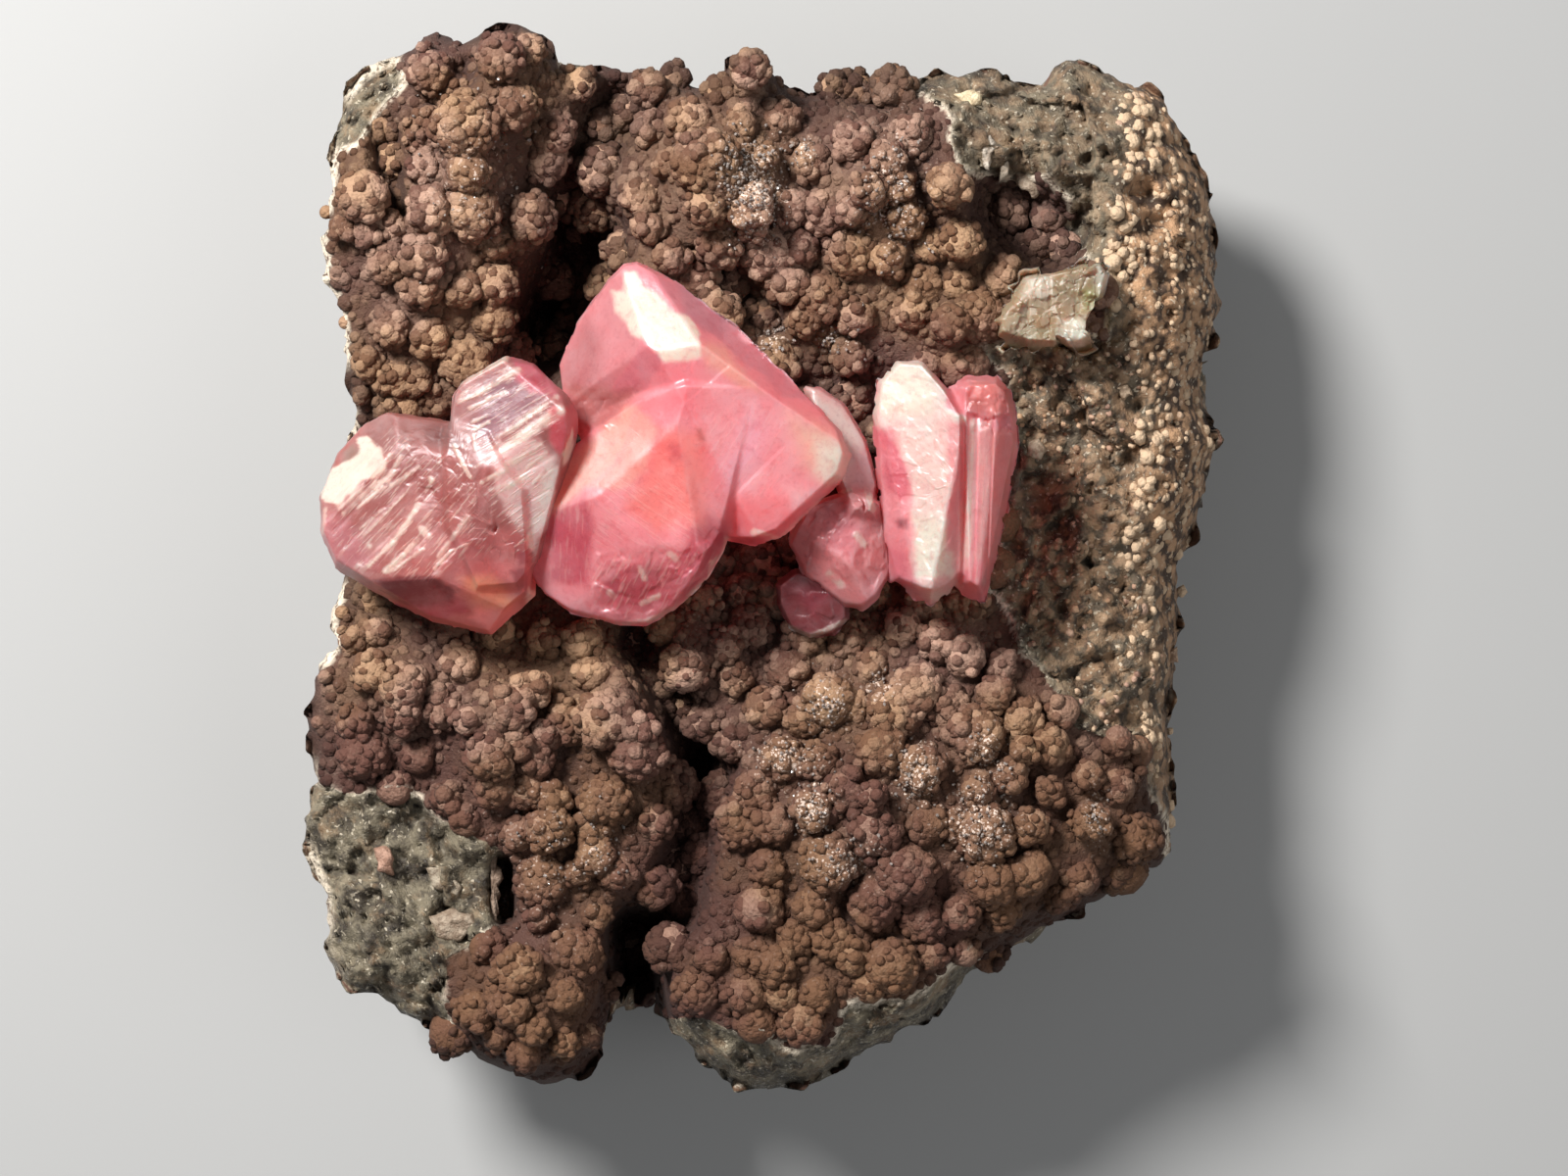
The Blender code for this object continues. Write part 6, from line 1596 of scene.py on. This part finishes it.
def crystal_piece(name, group):
    """A group of crystals grown together, as one closed skin round a middle place.

    Along each direction from the middle, rings run out over the top to the farthest girdle, down the
    undercut sides to the bed, and back under it. The height over the top is the highest crystal's there,
    and a crystal's height is that of its lowest face.
    """
    centre = placed([(*group["middle"], CRUST_LEVEL)])[0, :2]
    angle = np.linspace(0, 2 * math.pi, group["columns"], endpoint=False)
    direction = np.column_stack([np.cos(angle), np.sin(angle)])
    reaches = [girdle_reach(shape, centre, direction) for shape in group["shapes"]]
    reach, girdle = reaches[0]
    for other_reach, other_height in reaches[1:]:
        girdle = np.where(other_reach > reach, other_height, girdle)
        reach = np.maximum(reach, other_reach)
    edge = centre + direction * reach[:, None]
    ragged = 0.06 * noise(edge[:, 0], edge[:, 1], 0, 0.45, 91)
    ragged += 0.08 * np.round(1.5 * noise(edge[:, 0], edge[:, 1], 0, 0.7, 95))
    reach = reach + group["ragged"] * ragged
    share = np.linspace(0, 1, group["rows"] + 1)[1:] ** 0.75
    x = centre[0] + share[:, None] * reach * direction[:, 0]
    y = centre[1] + share[:, None] * reach * direction[:, 1]
    heights, creases = [], []
    for shape in group["shapes"]:
        height, crease = crystal_height(shape, x, y)
        plan_x, plan_y = plan_of(np.dstack([x, y, height]))
        heights.append(height - GROOVE_SHARE * grooved(shape, plan_x, plan_y))
        creases.append(crease)
    heights = np.array(heights)
    owner = heights.argmax(axis=0)
    top = np.take_along_axis(heights, owner[None], axis=0)[0]
    if len(heights) > 1:
        gap = np.clip(1 - np.abs(heights[0] - heights[1]) / JOIN_WIDTH, 0, 1)
        top += JOIN_WIDTH * gap ** 2 / 4 * smoothstep(1.0, 0.85, share)[:, None]
    crease = np.take_along_axis(np.array(creases), owner[None], axis=0)[0]
    top[-1] = girdle
    inner = smoothstep(1.0, 0.93, share)[:, None]
    plan_x, plan_y = plan_of(np.dstack([x, y, top]))
    top += inner * (0.05 * noise(x, y, 0, 1.3, 92) + 0.5 * chipped(group, plan_x, plan_y))
    for ax, ay, bx, by, width, _ in group["streaks"]:
        beside = line_distance(plan_x, plan_y, (ax, ay), (bx, by))
        top += inner * STREAK_RISE * (1 - smoothstep(0.5 * width, width, beside))
    rings = [np.dstack([x, y, top])]
    side_rows = group["side_rows"]
    depth = np.linspace(0, 1, side_rows + 1)[1:, None] * (girdle - group["bed"])
    inward = depth * math.tan(UNDERCUT)
    side = np.dstack([centre[0] + (reach - inward) * direction[:, 0],
                      centre[1] + (reach - inward) * direction[:, 1], girdle - depth])
    rough = 0.07 * noise(side[..., 0], side[..., 1], 0.4 * side[..., 2], 0.9, 93)
    side[..., :2] += direction * rough[..., None]
    rings.append(side)
    under = side[-1:].copy()
    under[..., :2] = centre + (under[..., :2] - centre) * 0.5
    rings.append(under)
    rings = np.concatenate(rings)
    pole = heights[:, 0].max(axis=0).mean()
    vertices, faces = ring_stack(rings, [[*centre, pole]], [[*centre, group["bed"]]])
    plan_x, plan_y = plan_of(vertices)
    edges = np.zeros(len(vertices))
    edges[:crease.size] = crease.ravel()
    paint = painted(group, plan_x, plan_y, vertices[:, 2], edges)
    sunk = np.zeros(rings.shape[:2])
    sunk[group["rows"]:] = girdle - rings[group["rows"]:, :, 2]
    plain = 0.85 * smoothstep(0.2, 2.0, np.append(sunk.ravel(), [0, 9]))[:, None]
    paint = paint * (1 - plain) + np.array(group["colour"]) * plain
    lines, run = striae(group, plan_x, plan_y)
    made = made_mesh(name, vertices, faces, {"paint": paint, "lines": lines, "run": run})
    material = crystal_material(name.replace("_", " "), group["slot"], settings().crystal)
    finished(made, material, group["node"])


def build_crystals():
    """All groups of clear crystals; the two small ones stand for one solid between them."""
    for name, group in CRYSTAL_GROUPS.items():
        crystal_piece(name, group)


def build_druse():
    """Sugary white crystals: small leaning six-sided points set into the crust around their patches."""
    lumps, level = lump_places()
    draw = np.random.default_rng(101)
    places = []
    for centre, reach_x, reach_y, _, count in DRUSE_PATCHES:
        spread = draw.normal(0, 0.6, (int(0.6 * count), 2)) * [reach_x, reach_y]
        places.append(np.array(centre) + spread)
    x, y = np.vstack(places).T
    clear = (depth_in(x, y, OUTLINE) > 0.5) & (under_crystals(x, y) < 0.1) & (bareness(x, y) < -0.1)
    x, y = x[clear], y[clear]
    normals = unit_length(np.column_stack([draw.normal(0, 0.45, (len(x), 2)), np.ones(len(x))]))
    centres = np.column_stack([x, y, top_surface(x, y, lumps, level) + draw.uniform(0.1, 0.35, len(x))])
    radii = draw.uniform(0.04, 0.09, len(x))
    vertices, faces, _ = scattered(crystal_point(), centres, normals, radii, 1.7, 0.06, 102)
    druse = made_mesh("druse", placed(vertices), faces, smooth=False)
    finished(druse, druse_material())


def crystal_point():
    """Six-sided prism with pointed ends, radius 1: rings at two heights between two poles."""
    angle = np.linspace(0, 2 * math.pi, 6, endpoint=False)
    ring = np.column_stack([np.cos(angle), np.sin(angle)])
    rings = np.array([np.column_stack([ring, np.full(6, height)]) for height in (0.35, -0.6)])
    return ring_stack(rings, [[0, 0, 1.1]], [[0, 0, -1.1]])


# ------------------------------------------------------------------------------------------------ stage

def build_stage():
    """Pale floor, soft studio lights, and a camera that looks straight down on the specimen."""
    own = settings().stage
    corners = FLOOR_REACH * np.array([[-1, -1, 0], [1, -1, 0], [1, 1, 0], [-1, 1, 0]])
    floor = made_mesh("floor", corners, [np.array([[0, 1, 2, 3]])], smooth=False)
    paper = Shader("pale paper")
    tone = paper.mix(paper.noise(180.0), *PAPER_COLOURS)
    floor.data.materials.append(paper.finish(Base_Color=tone, Roughness=0.9))
    for name, place, size, power in (
            ("key", own.key_place, own.key_size, own.key_power),
            ("fill", own.fill_place, own.fill_size, own.fill_power)):
        light = bpy.data.lights.new(name, "AREA")
        light.shape = "DISK"
        light.size = size
        light.energy = power
        lamp = bpy.data.objects.new(name, light)
        lamp.location = place
        lamp.rotation_euler = lamp.location.to_track_quat("Z", "Y").to_euler()
        bpy.context.collection.objects.link(lamp)
    world = bpy.data.worlds.new("studio")
    world.use_nodes = True
    background = world.node_tree.nodes["Background"]
    background.inputs["Color"].default_value = (*ROOM_COLOUR, 1.0)
    background.inputs["Strength"].default_value = own.room_strength
    bpy.context.scene.world = world
    bpy.context.scene.view_settings.view_transform = "Standard"
    lens = bpy.data.cameras.new("camera")
    lens.sensor_width = 36.0
    lens.lens = 18.0 / math.tan(own.view_angle / 2)
    lens.clip_start = 0.001
    camera = bpy.data.objects.new("camera", lens)
    camera.location = own.camera_place
    bpy.context.collection.objects.link(camera)
    bpy.context.scene.camera = camera


# --------------------------------------------------------------------------------------------- settings

def colour_setting(name, description, default):
    """Colour setting of a material."""
    return FloatVectorProperty(name=name, description=description, default=default, subtype="COLOR", min=0.0,
                               max=1.0)


def number_setting(name, description, default, low=0.0, high=1000.0, **kind):
    """Number setting; kind gives its unit or subtype where one fits."""
    return FloatProperty(name=name, description=description, default=default, min=low, max=high, **kind)


def place_setting(name, description, default):
    """Place of a light or the camera, in metres."""
    return FloatVectorProperty(name=name, description=description, default=default, subtype="TRANSLATION",
                               unit="LENGTH")


class CrustSettings(bpy.types.PropertyGroup):
    """Brown crust."""
    colour: colour_setting("Colour", "Mauve-brown regions of the crust", shade(87, 56, 46))
    warm_colour: colour_setting("Warm Colour", "Tan regions of the crust", shade(100, 70, 49))
    light_colour: colour_setting("Light Colour", "Lightest nodules", shade(162, 128, 98))
    pale_colour: colour_setting("Pale Colour", "Lightest nodules in the mauve regions", shade(166, 132, 114))
    # the flank nodules' tan, lightened as painted light
    painted_lit_sand_colour: colour_setting("Sand Colour", "Nodules of the sandy flank", shade(194, 166, 136))
    # painted shade: the colour that the hollows between lumps are darkened to
    painted_shade_colour: colour_setting("Hollow Colour", "Between the lumps", shade(44, 22, 16))
    frost_colour: colour_setting("Frost Colour", "Dusting of druse", shade(206, 184, 168))
    grain_spacing: number_setting("Nodule Spacing", "Distance between nodules in millimetres", 0.58, 0.01)
    grain_smallest: number_setting("Smallest Nodule", "Smallest radius over the spacing", 0.52)
    grain_largest: number_setting("Largest Nodule", "Largest radius over the spacing", 0.85)


class RockSettings(bpy.types.PropertyGroup):
    """Bare host rock."""
    dark_colour: colour_setting("Dark Colour", "Darkest stone", shade(50, 42, 33))
    grey_colour: colour_setting("Grey Colour", "Grey-green stone", shade(118, 108, 89))
    glint_colour: colour_setting("Glint Colour", "Glinting grains", shade(206, 192, 168))
    tan_colour: colour_setting("Tan Colour", "Tan patches", shade(144, 114, 84))
    pale_colour: colour_setting("Pale Colour", "Pale grains and streaks in the stone", shade(184, 170, 144))
    fibre_colour: colour_setting("Fibre Colour", "Fine fibres in the stone", shade(150, 136, 112))
    # the sandy flank's tan, lightened as painted light
    painted_lit_sand_colour: colour_setting("Sand Colour", "Sandy flank", shade(186, 144, 108))
    pit_colour: colour_setting("Pit Colour", "Pits in the sandy flank", shade(70, 50, 37))
    # pale broken edge, partly painted light on the lit left edge
    rim_and_lit_edge_colour: colour_setting("Rim Colour", "Broken edge of the crust", shade(214, 198, 176))
    # painted glow under the crystals
    socket_glow_colour: colour_setting("Socket Colour", "Stone under the crystals", shade(236, 160, 150))


class CrystalSettings(bpy.types.PropertyGroup):
    """Clear crystals."""
    transmission: number_setting("Transmission", "Share of light that passes into a crystal", 0.52, 0.5, 1.0,
                                 subtype="FACTOR")
    glow: number_setting("Glow", "Share of light that spreads just under the faces", 0.6, 0.0, 1.0,
                         subtype="FACTOR")
    ior: number_setting("IOR", "Index of refraction", 1.6, 1.0, 2.5)
    depth_density: number_setting("Depth Density", "Absorption inside, for each metre", 110.0)


class StageSettings(bpy.types.PropertyGroup):
    """Camera and studio lights."""
    camera_place: place_setting("Camera", "Place of the camera", (0.00093, -0.00134, 0.171))
    view_angle: number_setting("View Angle", "Width of the view", math.radians(30.0), subtype="ANGLE")
    key_place: place_setting("Key Place", "Place of the key light", (-0.12, 0.13, 0.20))
    key_size: number_setting("Key Size", "Diameter of the key light", 0.07, unit="LENGTH")
    key_power: number_setting("Key Power", "Power of the key light", 1.42, unit="POWER")
    fill_place: place_setting("Fill Place", "Place of the fill light", (0.25, -0.1, 0.3))
    fill_size: number_setting("Fill Size", "Diameter of the fill light", 0.3, unit="LENGTH")
    fill_power: number_setting("Fill Power", "Power of the fill light", 0.42, unit="POWER")
    room_strength: number_setting("Room", "Strength of the light from all around", 0.19)


class SpecimenSettings(bpy.types.PropertyGroup):
    """Every setting of the specimen."""
    crust: PointerProperty(type=CrustSettings)
    rock: PointerProperty(type=RockSettings)
    crystal: PointerProperty(type=CrystalSettings)
    stage: PointerProperty(type=StageSettings)


# -------------------------------------------------------------------------------------------- operators

class SPECIMEN_OT_stage(bpy.types.Operator):
    """Add the floor, the lights and the camera"""
    bl_idname = "specimen.stage"
    bl_label = "Stage"

    def execute(self, context):
        build_stage()
        return {"FINISHED"}


class SPECIMEN_OT_rock(bpy.types.Operator):
    """Add the block of crust and host rock"""
    bl_idname = "specimen.rock"
    bl_label = "Rock"

    def execute(self, context):
        build_rock()
        return {"FINISHED"}


class SPECIMEN_OT_lumps(bpy.types.Operator):
    """Add the lumps of the crust"""
    bl_idname = "specimen.lumps"
    bl_label = "Lumps"

    def execute(self, context):
        build_lumps()
        return {"FINISHED"}


class SPECIMEN_OT_grains(bpy.types.Operator):
    """Add the grains that cover the crust"""
    bl_idname = "specimen.grains"
    bl_label = "Grains"

    def execute(self, context):
        build_grains()
        return {"FINISHED"}


class SPECIMEN_OT_druse(bpy.types.Operator):
    """Add the sugary white druse"""
    bl_idname = "specimen.druse"
    bl_label = "Druse"

    def execute(self, context):
        build_druse()
        return {"FINISHED"}


class SPECIMEN_OT_chips(bpy.types.Operator):
    """Add the pale chips and plates"""
    bl_idname = "specimen.chips"
    bl_label = "Chips"

    def execute(self, context):
        build_chips()
        return {"FINISHED"}


class SPECIMEN_OT_crystals(bpy.types.Operator):
    """Add the clear crystals"""
    bl_idname = "specimen.crystals"
    bl_label = "Crystals"

    def execute(self, context):
        build_crystals()
        return {"FINISHED"}


OPERATORS = [SPECIMEN_OT_stage, SPECIMEN_OT_rock, SPECIMEN_OT_lumps, SPECIMEN_OT_grains, SPECIMEN_OT_druse,
             SPECIMEN_OT_chips, SPECIMEN_OT_crystals]


class SPECIMEN_PT_panel(bpy.types.Panel):
    """Panel that lists the pieces and their settings"""
    bl_idname = "SPECIMEN_PT_panel"
    bl_label = "Rhodochrosite Specimen"
    bl_space_type = "VIEW_3D"
    bl_region_type = "UI"
    bl_category = "Specimen"

    def draw(self, context):
        for operator in OPERATORS:
            self.layout.operator(operator.bl_idname)
        own = context.scene.specimen
        for group in (own.crust, own.rock, own.crystal, own.stage):
            box = self.layout.box()
            for key in group.__annotations__:
                box.prop(group, key)


CLASSES = [CrustSettings, RockSettings, CrystalSettings, StageSettings, SpecimenSettings, *OPERATORS,
           SPECIMEN_PT_panel]


def register():
    for kind in CLASSES:
        bpy.utils.register_class(kind)
    bpy.types.Scene.specimen = PointerProperty(type=SpecimenSettings)


def unregister():
    del bpy.types.Scene.specimen
    for kind in reversed(CLASSES):
        bpy.utils.unregister_class(kind)


def main():
    """Register the classes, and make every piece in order."""
    register()
    bpy.ops.specimen.stage()
    bpy.ops.specimen.rock()
    bpy.ops.specimen.lumps()
    bpy.ops.specimen.grains()
    bpy.ops.specimen.druse()
    bpy.ops.specimen.chips()
    bpy.ops.specimen.crystals()
    bpy.context.view_layer.update()


if __name__ == "__main__":
    main()
